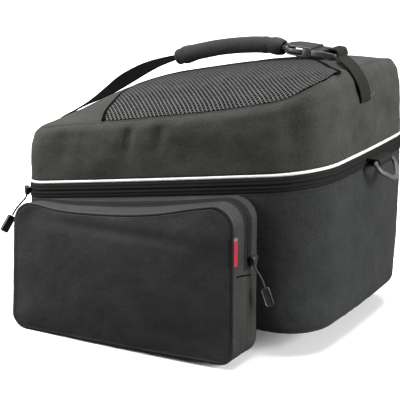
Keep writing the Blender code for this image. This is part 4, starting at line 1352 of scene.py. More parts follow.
@dataclass
class Lid(SubAssembly):
    """Padded lid: a leaning wall, a rolled top seam and a domed top, one soft cloth shell."""

    roll: float = 0.0011
    seam_points: int = 7
    foot_inset: float = 0.0030
    foot_lift: float = 0.0012
    wall_lift: float = 0.0024
    wall_share: float = 0.972
    groove_inset: float = 0.0024
    groove_lift: float = 0.0002
    pucker: float = 0.0006
    slump_depth: float = 0.0045
    slump_place: Pairs = ((0.182, 0.022), (0.110, 0.040), (0.284, 0.018))
    dents: tuple[SoftPlace, ...] = (
        SoftPlace((-0.036, -0.135, 0.216), (0.006, 0.03, 0.024), 0.0050),
        SoftPlace((-0.018, -0.135, 0.214), (0.009, 0.03, 0.024), 0.0020, Side.OUT),
        SoftPlace((0.003, -0.135, 0.222), (0.007, 0.03, 0.026), 0.0044),
        SoftPlace((0.024, -0.135, 0.226), (0.010, 0.03, 0.022), 0.0018, Side.OUT),
        SoftPlace((-0.120, -0.130, 0.190), (0.010, 0.03, 0.020), 0.0022),
        SoftPlace((-0.080, -0.135, 0.180), (0.020, 0.03, 0.022), 0.0018, Side.OUT),
        SoftPlace((0.060, -0.135, 0.205), (0.030, 0.03, 0.016), 0.0016),
        SoftPlace((0.150, -0.127, 0.238), (0.010, 0.03, 0.030), 0.0048),
        SoftPlace((0.172, -0.112, 0.240), (0.012, 0.02, 0.030), 0.0030, Side.OUT),
        SoftPlace((0.190, -0.026, 0.228), (0.02, 0.010, 0.010), 0.0056),
        SoftPlace((0.190, -0.038, 0.215), (0.02, 0.010, 0.010), 0.0062),
        SoftPlace((0.190, -0.050, 0.202), (0.02, 0.010, 0.010), 0.0050),
        SoftPlace((0.190, -0.012, 0.218), (0.02, 0.012, 0.014), 0.0040, Side.OUT),
        SoftPlace((0.190, -0.066, 0.216), (0.02, 0.012, 0.014), 0.0026, Side.OUT),
        SoftPlace((0.190, 0.040, 0.232), (0.02, 0.030, 0.014), 0.0024),
    )
    top_dents: tuple[SoftPlace, ...] = (
        SoftPlace((-0.128, -0.095, 0.22), (0.010, 0.016, 0.05), 0.0010),
        SoftPlace((-0.140, -0.065, 0.225), (0.012, 0.020, 0.05), 0.0010),
        SoftPlace((0.140, -0.070, 0.27), (0.020, 0.012, 0.05), 0.0016),
        SoftPlace((0.168, -0.020, 0.28), (0.010, 0.020, 0.05), 0.0012),
    )

    def wall_rows(self) -> list[Grid]:
        """Gives the rings of the wall from the piping to under the seam.

        Returns:
            The rings, from low to high.
        """
        rows = [FORM.at_zip(FORM.plan(self.foot_inset), self.foot_lift)]
        seam = FORM.plan(FORM.lid_lean)
        top = FORM.roof(seam[:, 0], seam[:, 1])
        for rise in np.linspace(0.0, self.wall_share, 34):
            lean = FORM.lid_lean * float(FORM.lean.at(np.array(rise)))
            ring = FORM.plan(lean)
            foot = FORM.zip_line(ring[:, 0]) + self.wall_lift
            rows.append(np.column_stack([ring, foot + rise * (top - foot)]))
        return rows

    def seam_rows(self) -> list[Grid]:
        """Gives the rings of the rolled seam and of the groove behind it.

        Returns:
            The rings, from outside to inside.
        """
        seam = FORM.plan(FORM.lid_lean)
        out = plan_normals(seam)
        top = FORM.roof(seam[:, 0], seam[:, 1])
        middle = np.column_stack([seam - out * self.roll, top - self.roll * 0.6])
        rows = []
        for angle in np.radians(np.linspace(0, 130, self.seam_points)):
            rows.append(middle + radial(out, angle) * self.roll)
        rows.append(FORM.on_roof(FORM.plan(FORM.lid_lean + self.groove_inset), self.groove_lift))
        return rows

    def top_rows(self) -> list[Grid]:
        """Gives the rings of the domed top from its seam to its middle.

        Returns:
            The rings, from outside to inside.
        """
        seam = FORM.plan(FORM.lid_lean)
        scales = (0.965, 0.95, 0.93, 0.91, *np.linspace(0.88, 0.0, 30))
        return [FORM.on_roof(seam * scale) for scale in scales]

    def build(self) -> None:
        """Builds the lid."""
        walls, seams, tops = self.wall_rows(), self.seam_rows(), self.top_rows()
        wall = np.array(walls)
        run = loop_length(FORM.plan(0.0))

        def hold(share: Grid) -> Grid:
            """Keeps the sewn edges still."""
            return np.clip(share / 0.15, 0, 1) * np.clip((1.0 - share) / 0.15, 0, 1)

        wall = soften(wall, True, 0.0013, 0.030, 1.4, self.dents, hold)
        seam = np.array(seams)
        pucker = self.pucker * ripple(seam, 0.009, 4.2)
        seam[..., 2] += pucker
        wall[-1, :, 2] += pucker[0] * 0.6

        def hold_seam(share: Grid) -> Grid:
            """Keeps the top's seam still."""
            return np.clip(share / 0.12, 0, 1)

        top = soften(np.array(tops), True, 0.0007, 0.040, 8.8, self.top_dents, hold_seam)
        grid = np.concatenate([wall, seam, top])
        slump = sum(((grid[..., a] - spot) / reach) ** 2 for a, (spot, reach) in enumerate(self.slump_place))
        grid[..., 2] -= self.slump_depth * np.exp(-slump)
        up = rise_length(grid)
        uv = metres_grid(run, up)
        flat = grid[len(walls) + len(seams) :, :, :2]
        uv[len(walls) + len(seams) :] = np.concatenate([flat, flat[:, :1]], axis=1)
        lid = sheet_object("lid_cloth_shell", grid, uv, True, self.finishes.lid, True)
        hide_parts("lid_shell")
        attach(lid, "bag")
        LOG.info("lid: wall, rolled seam and domed top, %d faces", len(lid.data.polygons))


@dataclass
class MeshNet(SubAssembly):
    """Air mesh over the pocket side of the lid's top, with elastic edging on its free edges."""

    columns: int = 56
    rows: int = 130
    lift: float = 0.0021
    far_y: float = -0.0215
    border: float = 0.0012
    edging_width: float = 0.0044
    edging_sink: float = 0.0003
    edging_lift: float = 0.9
    edging_profile: Pairs = ((0.0, 0.2), (0.1, 2.6), (0.35, 3.1), (0.65, 3.1), (0.92, 2.5), (1.0, 0.4))
    across: tuple[float, ...] = (0.0, 0.15, 0.38, 0.57, 0.72, 0.87, 0.96, 1.0)
    front: tuple[float, ...] = (-0.394, -0.426, -0.442, -0.459, -0.444, -0.390, -0.290, -0.200)
    rear: tuple[float, ...] = (1.0, 1.0, 1.0, 0.965, 0.850, 0.760, 0.680, 0.580)

    def rear_limit(self, y: float) -> float:
        """Gives where the net must end inside the rear seam's rounded corner.

        Args:
            y: Place across the bag.

        Returns:
            The furthest x.
        """
        radius = FORM.rear_radius - FORM.lid_lean - self.border
        start = FORM.length / 2 - FORM.lid_lean - self.border - radius
        past = max(0.0, abs(y) - (self.half() - radius))
        bow = FORM.end_bow * max(0.0, 1.0 - (2 * y / FORM.width) ** 2)
        return start + math.sqrt(max(0.0, radius**2 - past**2)) + bow * 0.5

    def half(self) -> float:
        """Gives half the width that the net may cover."""
        return FORM.width / 2 - FORM.lid_lean - self.border

    def plan(self) -> Grid:
        """Gives the net's plan points, in lines from its front edge to its rear one.

        Returns:
            A grid of x and y, one line for each place across.
        """
        start_line = SmoothTable(self.across, self.front)
        end_line = SmoothTable(self.across, self.rear)
        grid = np.zeros((self.columns, self.rows, 2))
        for i, share in enumerate(np.linspace(0.0, 1.0, self.columns)):
            y = -self.half() + share * (self.far_y + self.half())
            start = float(start_line.at(np.array(share))) * FORM.length / 2
            end = min(float(end_line.at(np.array(share))) * FORM.length / 2, self.rear_limit(y))
            grid[i, :, 0] = np.linspace(start, end, self.rows)
            grid[i, :, 1] = y - FORM.bow(grid[i, :, 0]) * (1.0 - share) ** 2
        return grid

    def build(self) -> None:
        """Builds the net and its edging."""
        plan = self.plan()
        x, y = plan[..., 0], plan[..., 1]
        near = np.linspace(0.0, 1.0, self.columns)[:, None]
        drape = self.lift * np.clip(near / 0.08, 0.42, 1.0)
        top = np.dstack([x, y, FORM.roof(x, y) + drape])
        top[..., 2] += 0.0004 * ripple(top, 0.02, 2.5) * np.clip(near / 0.1, 0, 1)
        grid = top.transpose(1, 0, 2)[:, ::-1]
        uv = grid[..., :2]
        net = sheet_object("mesh_net", grid[::-1], uv[::-1], False, self.finishes.net)
        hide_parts("mesh_panel")
        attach(net, "bag")
        edging = self.edging(plan)
        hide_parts("mesh_binding")
        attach(edging, "bag")
        LOG.info("mesh net: net and edging")

    def edging(self, plan: Grid) -> Piece:
        """Runs the elastic edging round the front, far and rear free edges.

        Args:
            plan: The net's plan points.

        Returns:
            The edging.
        """
        front = plan[:, 0]
        far = plan[-1, 1:]
        rear = plan[self.columns // 2 : -1, -1][::-1]
        line = np.concatenate([front, far, rear])
        ahead = directions(line)
        out = np.stack([-ahead[:, 1], ahead[:, 0]], axis=1)
        rows = []
        for share, lift in self.edging_profile:
            spot = line + out * (share * self.edging_width - self.edging_sink)
            rows.append(FORM.on_roof(spot, lift * MILLIMETRE * self.edging_lift))
        grid = np.array(rows)
        uv = metres_grid(run_length(line), np.linspace(0, self.edging_width, len(rows)))
        return sheet_object("net_edging", grid, uv, False, self.finishes.webbing)


def ribbon(
    name: str,
    path: Grid,
    width: Grid,
    thickness: float,
    roll: Grid,
    material: Finish,
) -> Piece:
    """Lays flat webbing along a path, with soft edges.

    Args:
        name: Name of the piece.
        path: Points of its middle line.
        width: Its width at each point.
        thickness: Its thickness.
        roll: Degrees that it turns about its own length at each point.
        material: Its finish.

    Returns:
        The webbing.
    """
    ahead = directions(path)
    flat_side = np.tile([0.0, 1.0, 0.0], (len(path), 1))
    flat_up = np.cross(ahead, flat_side)
    flat_up /= np.linalg.norm(flat_up, axis=1, keepdims=True)
    angle = np.radians(roll)[:, None]
    side = np.cos(angle) * flat_side + np.sin(angle) * flat_up
    up = np.cross(ahead, side)
    up /= np.linalg.norm(up, axis=1, keepdims=True)
    shape = (
        (-1.0, 0.0), (-0.97, -0.9), (-0.86, -1.0), (-0.5, -0.86), (0.0, -1.0), (0.5, -0.86),
        (0.86, -1.0), (0.97, -0.9), (1.0, 0.0), (0.97, 0.9), (0.86, 1.0), (0.5, 0.86),
        (0.0, 1.0), (-0.5, 0.86), (-0.86, 1.0), (-0.97, 0.9),
    )
    half = (width / 2)[:, None]
    columns = [path + side * half * a + up * (thickness / 2 * b) for a, b in shape]
    grid = np.stack(columns, axis=1)
    closing = np.repeat(path[[0, -1]][:, None], len(shape), axis=1)
    grid = np.concatenate([closing[:1], grid, closing[1:]])
    run = run_length(path)
    across = np.array([a for a, _ in shape] + [-1.0]) * float(width.mean()) / 2
    uv = metres_grid(across, np.concatenate([[0.0], run, run[-1:]]))
    return sheet_object(name, grid, uv[..., ::-1], True, material)


def moulded_bar(
    name: str,
    sections: Rows,
    axis: Axis,
    material: Finish,
    sides: int = 24,
) -> Piece:
    """Moulds a bar with rounded edges through cross-sections.

    Args:
        name: Name of the piece.
        sections: Along the axis: place, the middle on the other two axes, and the half sizes there.
        axis: The way it runs.
        material: Its finish.
        sides: Points round each cross-section.

    Returns:
        The bar.
    """
    table = np.array(sections, float)
    first, last = table[0], table[-1]
    round_off = float(min(table[0, 3], table[0, 4], table[-1, 3], table[-1, 4])) * END_ROUND_SHARE
    first_step = round_off * END_FIRST_STEP
    places = [first[0], first[0] + first_step, first[0] + round_off]
    ends = [last[0] - round_off, last[0] - first_step, last[0]]
    inner = [place for place in table[:, 0] if places[-1] < place < ends[0]]
    drawn_in = [1.0, END_FIRST_STEP, *([0.0] * (len(inner) + 2)), END_FIRST_STEP, 1.0]
    angles = np.linspace(0, 2 * math.pi, sides, endpoint=False) + math.pi / sides
    soft, lift = (np.sign(wave) * np.abs(wave) ** SECTION_POWER for wave in (np.cos(angles), np.sin(angles)))
    rows = [np.tile(first[:3], (sides, 1))]
    for place, share in zip([*places, *inner, *ends], drawn_in):
        a, b, wide, high = (float(np.interp(place, table[:, 0], table[:, c])) for c in range(1, 5))
        edge = share * round_off
        across, up = a + soft * (wide - edge), b + lift * (high - edge)
        rows.append(np.column_stack([np.full(sides, place), across, up]))
    rows.append(np.tile(last[:3], (sides, 1)))
    grid = np.array(rows)
    if axis is Axis.Y:
        grid = grid[..., [1, 0, 2]][:, ::-1]
    elif axis is Axis.Z:
        grid = grid[..., [1, 2, 0]]
    run = np.linspace(0, 0.02, sides + 1)
    return sheet_object(name, grid, metres_grid(run, np.linspace(0, 0.02, len(grid))), True, material, True)


@dataclass
class Handle(SubAssembly):
    """Carrying handle: twisted front webbing, padded grip, fastened buckle and rear webbing."""

    webbing_width: float = 0.025
    webbing_thickness: float = 0.0018
    grip_diameter: float = 0.0186
    buckle_start: float = 0.0840
    buckle_z: float = 0.3002
    buckle_thickness: float = 0.0110
    prong_length: float = 0.0250
    prong_middle: float = 0.1328
    slot_back: float = 0.0057
    wrap_gap: float = 0.0009
    wall_foot: float = 0.0026
    wall_gap: float = 0.0006
    front_line: Pairs = (
        (-1.06, 0.545), (-1.14, 0.625), (-1.145, 0.78), (-1.03, 0.985), (-0.845, 1.24), (-0.695, 1.44),
        (-0.545, 1.61), (-0.41, 1.72), (-0.292, 1.785),
    )
    grip_line: Pairs = (
        (-0.289, 1.785), (-0.122, 1.865), (0.05, 1.905), (0.22, 1.9), (0.355, 1.862), (0.445, 1.8),
    )
    buckle_tilt: float = 4.0
    socket_plate: Rows = (
        (0.0838, 0.0, 0.0032, 0.0080, 0.0011), (0.0872, 0.0, 0.0040, 0.0105, 0.0012),
        (0.0915, 0.0, 0.0044, 0.0150, 0.0013), (0.0960, 0.0, 0.0045, 0.0168, 0.0013),
        (0.1120, 0.0, 0.0045, 0.0170, 0.0013), (0.1182, 0.0, 0.0045, 0.0170, 0.0012),
    )
    socket_neck: Rows = ((0.0834, 0.0, 0.0, 0.0070, 0.0036), (0.0905, 0.0, 0.0, 0.0088, 0.0042))
    socket_core: Rows = ((0.1085, 0.0, 0.0, 0.0155, 0.0042), (0.1180, 0.0, 0.0, 0.0164, 0.0044))
    socket_rail: Rows = ((0.1085, 0.0156, 0.0, 0.0012, 0.0046), (0.1182, 0.0160, 0.0, 0.0012, 0.0048))
    prong_arm: Rows = (
        (0.0890, 0.0120, 0.0003, 0.0010, 0.0016), (0.0935, 0.0158, 0.0003, 0.0011, 0.0019),
        (0.0990, 0.0168, 0.0003, 0.0011, 0.0020), (0.1050, 0.0158, 0.0003, 0.0011, 0.0019),
        (0.1120, 0.0136, 0.0003, 0.0011, 0.0018),
    )
    prong_rail: Rows = (
        (0.1186, 0.0150, 0.0, 0.0018, 0.0038), (0.1330, 0.0152, 0.0, 0.0018, 0.0036),
        (0.1452, 0.0152, -0.0002, 0.0017, 0.0030),
    )
    prong_head: Rows = ((0.1186, 0.0, 0.0, 0.0150, 0.0040), (0.1300, 0.0, 0.0, 0.0152, 0.0037))
    webbing_bar: Point = (0.1445, 0.0160, 0.0002)
    stitch_start: Point = (0.1852, -0.0105, 0.2578)
    stitch_step: Point = (0.0, 0.0017, 0.0003)
    stitch_points: int = 9
    grip_sides: int = 36
    grip_mouth: Pairs = ((0.9, 0.0002), (0.78, 0.002), (0.74, 0.006), (0.0, 0.0062))
    grip_table: SmoothTable = SmoothTable(
        (0.0, 0.012, 0.035, 0.043, 0.052, 0.2, 0.5, 0.8, 0.862, 0.874, 0.886, 0.985, 1.0),
        (0.78, 0.95, 0.99, 0.93, 1.0, 1.02, 1.0, 1.02, 1.0, 0.94, 0.99, 0.97, 0.88),
    )
    stub_points: int = 14
    stub_width: float = 0.0130
    stub_lift: float = 0.0011
    rear_line: tuple[Point, ...] = (
        (0.1500, -0.0090, 0.2955), (0.1590, -0.0210, 0.2966), (0.1670, -0.0285, 0.2943),
        (0.1738, -0.0300, 0.2892), (0.1796, -0.0285, 0.2805), (0.1828, -0.0252, 0.2715),
        (0.1841, -0.0228, 0.2640), (0.1843, -0.0205, 0.2577), (0.1838, -0.0195, 0.2535),
    )
    roll_table: SmoothTable = SmoothTable(
        (0.0, 0.20, 0.30, 0.40, 0.50, 0.60, 0.68, 0.76, 0.85, 0.92, 1.0),
        (0.0, 3.0, 7.0, 14.0, 27.0, 40.0, 42.0, 38.0, 28.0, 20.0, 14.0),
    )
    width_table: SmoothTable = SmoothTable((0.0, 0.7, 0.86, 1.0), (1.0, 1.0, 0.95, 0.75))

    def strap_point(self, along: float, height: float) -> Point:
        """Gives a place on the strap's free middle line.

        Args:
            along: Share of the bag's half length.
            height: Height over the zip, in lid heights.

        Returns:
            The place.
        """
        half = FORM.length / 2
        x = along * half
        level = float(FORM.zip_line(np.array(min(max(x, -half), half)))) + height * FORM.lid_height
        return (x + (FORM.end_bow if along > 1.0 else 0.0), FORM.strap_y, level)

    def wall_point(self, end: float, rise: float, proud: float = 0.0, sweep: float = 0.0) -> Point:
        """Gives a place of webbing against the lid's end wall.

        Args:
            end: -1 for the front end and 1 for the rear.
            rise: Share of the wall's height.
            proud: How far it stands off.
            sweep: How far it swings to the pocket side.

        Returns:
            The place.
        """
        x = end * FORM.length / 2
        at = np.array(x)
        foot = float(FORM.zip_line(at)) + self.wall_foot
        lean = FORM.lid_lean * float(FORM.lean.at(np.array(rise)))
        bow = FORM.end_bow if end > 0 else 0.0
        out = bow - lean + self.webbing_thickness / 2 + self.wall_gap + proud
        return (x + end * out, FORM.strap_y - sweep, foot + rise * (float(FORM.seam(at)) - foot))

    def front_strap(self) -> Piece:
        """Lays the front webbing, which rolls towards the pocket side before the grip.

        Returns:
            The front webbing.
        """
        knots = [self.wall_point(-1, 0.30), self.wall_point(-1, 0.49)]
        knots += [self.strap_point(a, h) for a, h in self.front_line]
        path = smooth_path(knots, 90)
        share = np.linspace(0.0, 1.0, len(path))
        width = self.webbing_width * self.width_table.at(share)
        roll = self.roll_table.at(share)
        return ribbon("front_webbing", path, width, self.webbing_thickness, roll, self.finishes.webbing)

    def rear_strap(self) -> Piece:
        """Lays the rear webbing, from the buckle's bar over the edge to its sewn end.

        Returns:
            The rear webbing.
        """
        slot_x = self.prong_middle + self.prong_length / 2 - self.slot_back
        stand_off = self.webbing_thickness / 2 + self.wrap_gap
        top = self.buckle_z + self.buckle_thickness * 0.4 + stand_off
        behind = self.prong_middle + self.prong_length / 2 + stand_off
        loop = [
            (slot_x - 0.0030, self.buckle_z - self.webbing_thickness),
            (slot_x - 0.0034, top - 0.0006),
            ((slot_x + behind) / 2 - 0.0030, top + 0.0004),
            (behind - 0.0012, top - 0.0004),
            (behind + stand_off * 0.6, self.buckle_z - 0.0008),
        ]
        places: list[Point] = []
        for x, z in loop:
            spot = self.tilt() @ Vector((x, FORM.strap_y, z))
            places.append((spot.x, spot.y, spot.z))
        places += self.rear_line
        path = smooth_path(places, 110)
        width = np.full(len(path), self.webbing_width)
        flat, thickness = np.zeros(len(path)), self.webbing_thickness
        # The rear webbing takes the lighter webbing copy, painted light.
        return ribbon("rear_webbing", path, width, thickness, flat, self.finishes.lit_webbing)

    def grip(self) -> Piece:
        """Wraps the padded grip, closed in at the front and open at the buckle's end.

        Returns:
            The grip.
        """
        path = smooth_path([self.strap_point(a, h) for a, h in self.grip_line], 96)
        ahead = directions(path)
        side = np.tile([0.0, 1.0, 0.0], (len(path), 1))
        up = np.cross(ahead, side)
        run = run_length(path)
        radius = self.grip_diameter / 2 * self.grip_table.at(run / run[-1])
        angles = np.linspace(0, 2 * math.pi, self.grip_sides, endpoint=False)
        flat = 1.0 - 0.06 * np.abs(np.sin(angles)) ** 3
        rows = []
        for i, point in enumerate(path):
            spoke = np.cos(angles)[:, None] * side[i] + (np.sin(angles) * flat)[:, None] * up[i]
            rows.append(point + radius[i] * spoke)
        grid = np.array(rows)
        normals = grid_normals(grid, True)
        grid = grid + normals * (0.00025 * ripple(grid, 0.012, 6.6))[..., None]
        start = np.array([path[0] + (grid[0] - path[0]) * share for share in (0.0, 0.8)])
        last, spokes = path[-1], grid[-1] - path[-1]
        ends = [last + spokes * share - ahead[-1] * sunk for share, sunk in self.grip_mouth]
        grid = np.concatenate([start, grid, np.array(ends)])
        across = np.linspace(0, math.pi * self.grip_diameter, self.grip_sides + 1)
        up_run = np.concatenate([[-0.01, -0.002], run, run[-1] + np.array([0.001, 0.003, 0.007, 0.014])])
        uv = metres_grid(across, up_run)
        return sheet_object("padded_grip", grid[:, ::-1], uv, True, self.finishes.grip, True)

    def stub(self) -> Piece:
        """Folds the pale webbing that joins the grip and the buckle.

        Returns:
            The stub.
        """
        start = np.array(self.strap_point(*self.grip_line[-1])) - np.array([0.005, 0.0, 0.0])
        end = np.array((self.buckle_start - 0.0003, FORM.strap_y, self.buckle_z))
        parts = []
        flat = np.zeros(self.stub_points)
        for i, lift in enumerate((self.stub_lift, -self.stub_lift)):
            knots = (start + [0, 0, lift], (start + end) / 2 + [0, 0, lift], end + [0, 0, lift * 0.9])
            path = smooth_path([tuple(knot) for knot in knots], self.stub_points)
            width, thickness = flat + self.stub_width, self.webbing_thickness
            parts.append(ribbon(f"stub_layer_{i}", path, width, thickness, flat, self.finishes.stub))
        return joined("grip_stub_webbing", parts)

    def tilt(self) -> Matrix:
        """Gives the turn that drops the buckle's rear end.

        Returns:
            The turn about the socket's front end.
        """
        middle = Vector((self.buckle_start, FORM.strap_y, self.buckle_z))
        spin = Matrix.Rotation(math.radians(self.buckle_tilt), 4, "Y")
        return Matrix.Translation(middle) @ spin @ Matrix.Translation(-middle)

    def bar(self, name: str, rows: Rows, material: Finish, flip: tuple[float, float] = (1.0, 1.0)) -> Piece:
        """Moulds one bar of the buckle.

        Args:
            name: Name of the bar.
            rows: Its cross-sections, with their middles given from the strap's middle line.
            material: Its finish.
            flip: Signs of the middles across and up, which mirror the bar.

        Returns:
            The bar.
        """
        across, up = flip
        middle_y, middle_z = FORM.strap_y, self.buckle_z
        places = [(x, middle_y + across * y, middle_z + up * z, wide, high) for x, y, z, wide, high in rows]
        return moulded_bar(name, places, Axis.X, material)

    def buckle(self) -> dict[str, Piece]:
        """Moulds the fastened buckle.

        Returns:
            The socket and the prong, by the node that each replaces.
        """
        plastic, pale = self.finishes.plastic, self.finishes.ring
        sides = (1.0, -1.0)
        parts = []
        for i, side in enumerate(sides):
            parts.append(self.bar(f"socket_plate_{i}", self.socket_plate, plastic, (1.0, side)))
        parts.append(self.bar("socket_neck", self.socket_neck, plastic))
        parts.append(self.bar("socket_core", self.socket_core, plastic))
        for i, side in enumerate(sides):
            parts.append(self.bar(f"socket_rail_{i}", self.socket_rail, plastic, (side, 1.0)))
        socket = joined("buckle_socket_body", parts)
        parts = []
        for i, side in enumerate(sides):
            # The prong arms are moulded in the paler plastic as painted highlights.
            parts.append(self.bar(f"prong_arm_{i}", self.prong_arm, pale, (side, 1.0)))
            parts.append(self.bar(f"prong_rail_{i}", self.prong_rail, plastic, (side, 1.0)))
        parts.append(self.bar("prong_head", self.prong_head, plastic))
        x, half, drop = self.webbing_bar
        ends = [(FORM.strap_y + end * half, x, self.buckle_z - drop, 0.0016, 0.0026) for end in (-1.0, 1.0)]
        # The prong's bar is in the paler plastic as a painted highlight.
        parts.append(moulded_bar("prong_bar", ends, Axis.Y, pale))
        prong = joined("buckle_prong_body", parts)
        for piece in (socket, prong):
            piece.data.transform(self.tilt())
        return {"buckle_socket": socket, "buckle_prong": prong}

    def build(self) -> None:
        """Builds the handle."""
        pieces = {
            "strap_front": self.front_strap(),
            "strap_rear": self.rear_strap(),
            "grip": self.grip(),
            "grip_stub": self.stub(),
        }
        for node, piece in pieces.items():
            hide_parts(node)
            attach(piece, "bag")
        steps = np.arange(self.stitch_points)[:, None]
        line = np.array(self.stitch_start) + np.array(self.stitch_step) * steps
        outward = np.tile([1.0, 0.0, 0.0], (self.stitch_points, 1))
        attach(stitch_row("rear_end_stitches", line, outward, self.finishes.stub), "bag")
        for node, piece in self.buckle().items():
            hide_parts(node)
            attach(piece, "bag")
        LOG.info("handle: webbing, grip, stub and buckle")


@dataclass
class RearRing(SubAssembly):
    """Webbing tab under the zip and the three-cornered ring that swings in it."""

    axis_x: float = 0.1968
    axis_z: float = 0.18904
    hang: float = 39.0
    bar_radius: float = 0.0022
    tab_width: float = 0.036
    tab_thickness: float = 0.0015
    wall_x: float = 0.1864
    half_width: float = 0.0029
    half_thickness: float = 0.0019
    corner_power: float = 0.55
    fold_gap: float = 0.0004
    bar_depth: float = 0.0016
    bar_relief: float = 0.0002
    slider_body: Rows = (
        (-0.0046, 0.0, 0.0, 0.0040, 0.0026), (-0.0020, 0.0, 0.0, 0.0034, 0.0028),
        (0.0018, 0.0, 0.0, 0.0050, 0.0028), (0.0046, 0.0, 0.0, 0.0056, 0.0026),
    )
    slider_bail: Rows = (
        (-0.0034, 0.0, 0.0024, 0.0010, 0.0008), (-0.0016, 0.0, 0.0038, 0.0010, 0.0008),
        (0.0016, 0.0, 0.0038, 0.0010, 0.0008), (0.0034, 0.0, 0.0024, 0.0010, 0.0008),
    )
    half_line: Pairs = (
        (0.0, 0.0), (0.0100, 0.0), (0.0190, 0.0), (0.0216, 0.0018), (0.0219, 0.0060), (0.0196, 0.0112),
        (0.0130, 0.0165), (0.0060, 0.0212), (0.0, 0.0224),
    )

    def ring(self) -> Piece:
        """Moulds the ring: a flat section swept round its rounded three-cornered line.

        Returns:
            The ring.
        """
        right = list(self.half_line)
        left = [(-y, d) for y, d in right[-2:0:-1]]
        knots = [(y, d, 0.0) for y, d in right + left + right[:1]]
        flat = smooth_path(knots, 97)[:-1, :2]
        out = plan_normals(flat)
        rows = []
        angles = np.linspace(0, 2 * math.pi, 17)
        turn = math.radians(self.hang)
        down = np.array([math.sin(turn), 0.0, -math.cos(turn)])
        normal = np.array([math.cos(turn), 0.0, math.sin(turn)])
        axis = np.array([self.axis_x, FORM.strap_y, self.axis_z])
        bar = np.clip(1.0 - flat[:, 1] / self.bar_depth, 0.0, 1.0)
        width = self.half_width * (1.0 - bar) + (self.bar_radius - self.bar_relief) * bar
        for angle in angles:
            c, s = math.cos(angle), math.sin(angle)
            wide = math.copysign(abs(c) ** self.corner_power, c)
            high = math.copysign(abs(s) ** self.corner_power, s) * self.half_thickness
            spot = flat + out * (width * wide)[:, None]
            rows.append(axis + spot[:, :1] * [0.0, 1.0, 0.0] + spot[:, 1:] * down + normal * high)
        grid = np.array(rows)
        uv = metres_grid(loop_length(flat), np.linspace(0, 0.012, len(rows)))
        return sheet_object("three_cornered_ring", grid, uv, True, self.finishes.ring, True)

    def tab(self) -> Piece:
        """Folds the webbing tab round the ring's bar and sews it under the zip.

        Returns:
            The tab.
        """
        radius = self.bar_radius + self.fold_gap + self.tab_thickness / 2
        knots: list[Point] = [(self.wall_x, FORM.strap_y, self.axis_z + radius)]
        for angle in np.radians(np.linspace(90.0, -90.0, 7)):
            x = self.axis_x + radius * math.cos(angle)
            knots.append((x, FORM.strap_y, self.axis_z + radius * math.sin(angle)))
        knots.append((self.wall_x, FORM.strap_y, self.axis_z - radius))
        path = smooth_path(knots, 44)
        return ribbon(
            "ring_tab_webbing",
            path,
            np.full(len(path), self.tab_width),
            self.tab_thickness,
            np.zeros(len(path)),
            # The tab takes the lighter webbing copy, painted light.
            self.finishes.lit_webbing,
        )

    def slider(self, name: str, node: str, turn: float) -> Piece:
        """Moulds a zip slider: a waisted body with a raised bail over its eye.

        Args:
            name: Name of the piece.
            node: The CAD node that it replaces.
            turn: Degrees from +X to its outward side.

        Returns:
            The slider.
        """
        low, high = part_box(node)
        middle = (low + high) / 2
        parts = [
            moulded_bar(name + "_body", self.slider_body, Axis.Z, self.finishes.plastic),
            moulded_bar(name + "_bail", self.slider_bail, Axis.Z, self.finishes.ring),
        ]
        whole = joined(name, parts)
        spin = Matrix.Rotation(math.radians(turn), 4, "Z") @ Matrix.Rotation(math.radians(90.0), 4, "Z")
        whole.data.transform(Matrix.Translation(middle) @ spin)
        return whole

    def build(self) -> None:
        """Builds the tab, the ring and the sliders, and dresses the hidden front ring."""
        ring, tab = self.ring(), self.tab()
        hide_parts("strap_ring")
        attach(ring, "ring")
        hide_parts("ring_tab")
        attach(tab, "bag")
        sliders = (("corner_slider", "main_slider", 225.0), ("side_slider", "pocket_slider", 0.0))
        for name, node, turn in sliders:
            piece = self.slider(name, node, turn)
            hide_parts(node)
            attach(piece, "bag")
        refinish("front_ring", self.finishes.plastic)
        LOG.info("rings: tab, rear ring, front ring and both sliders")


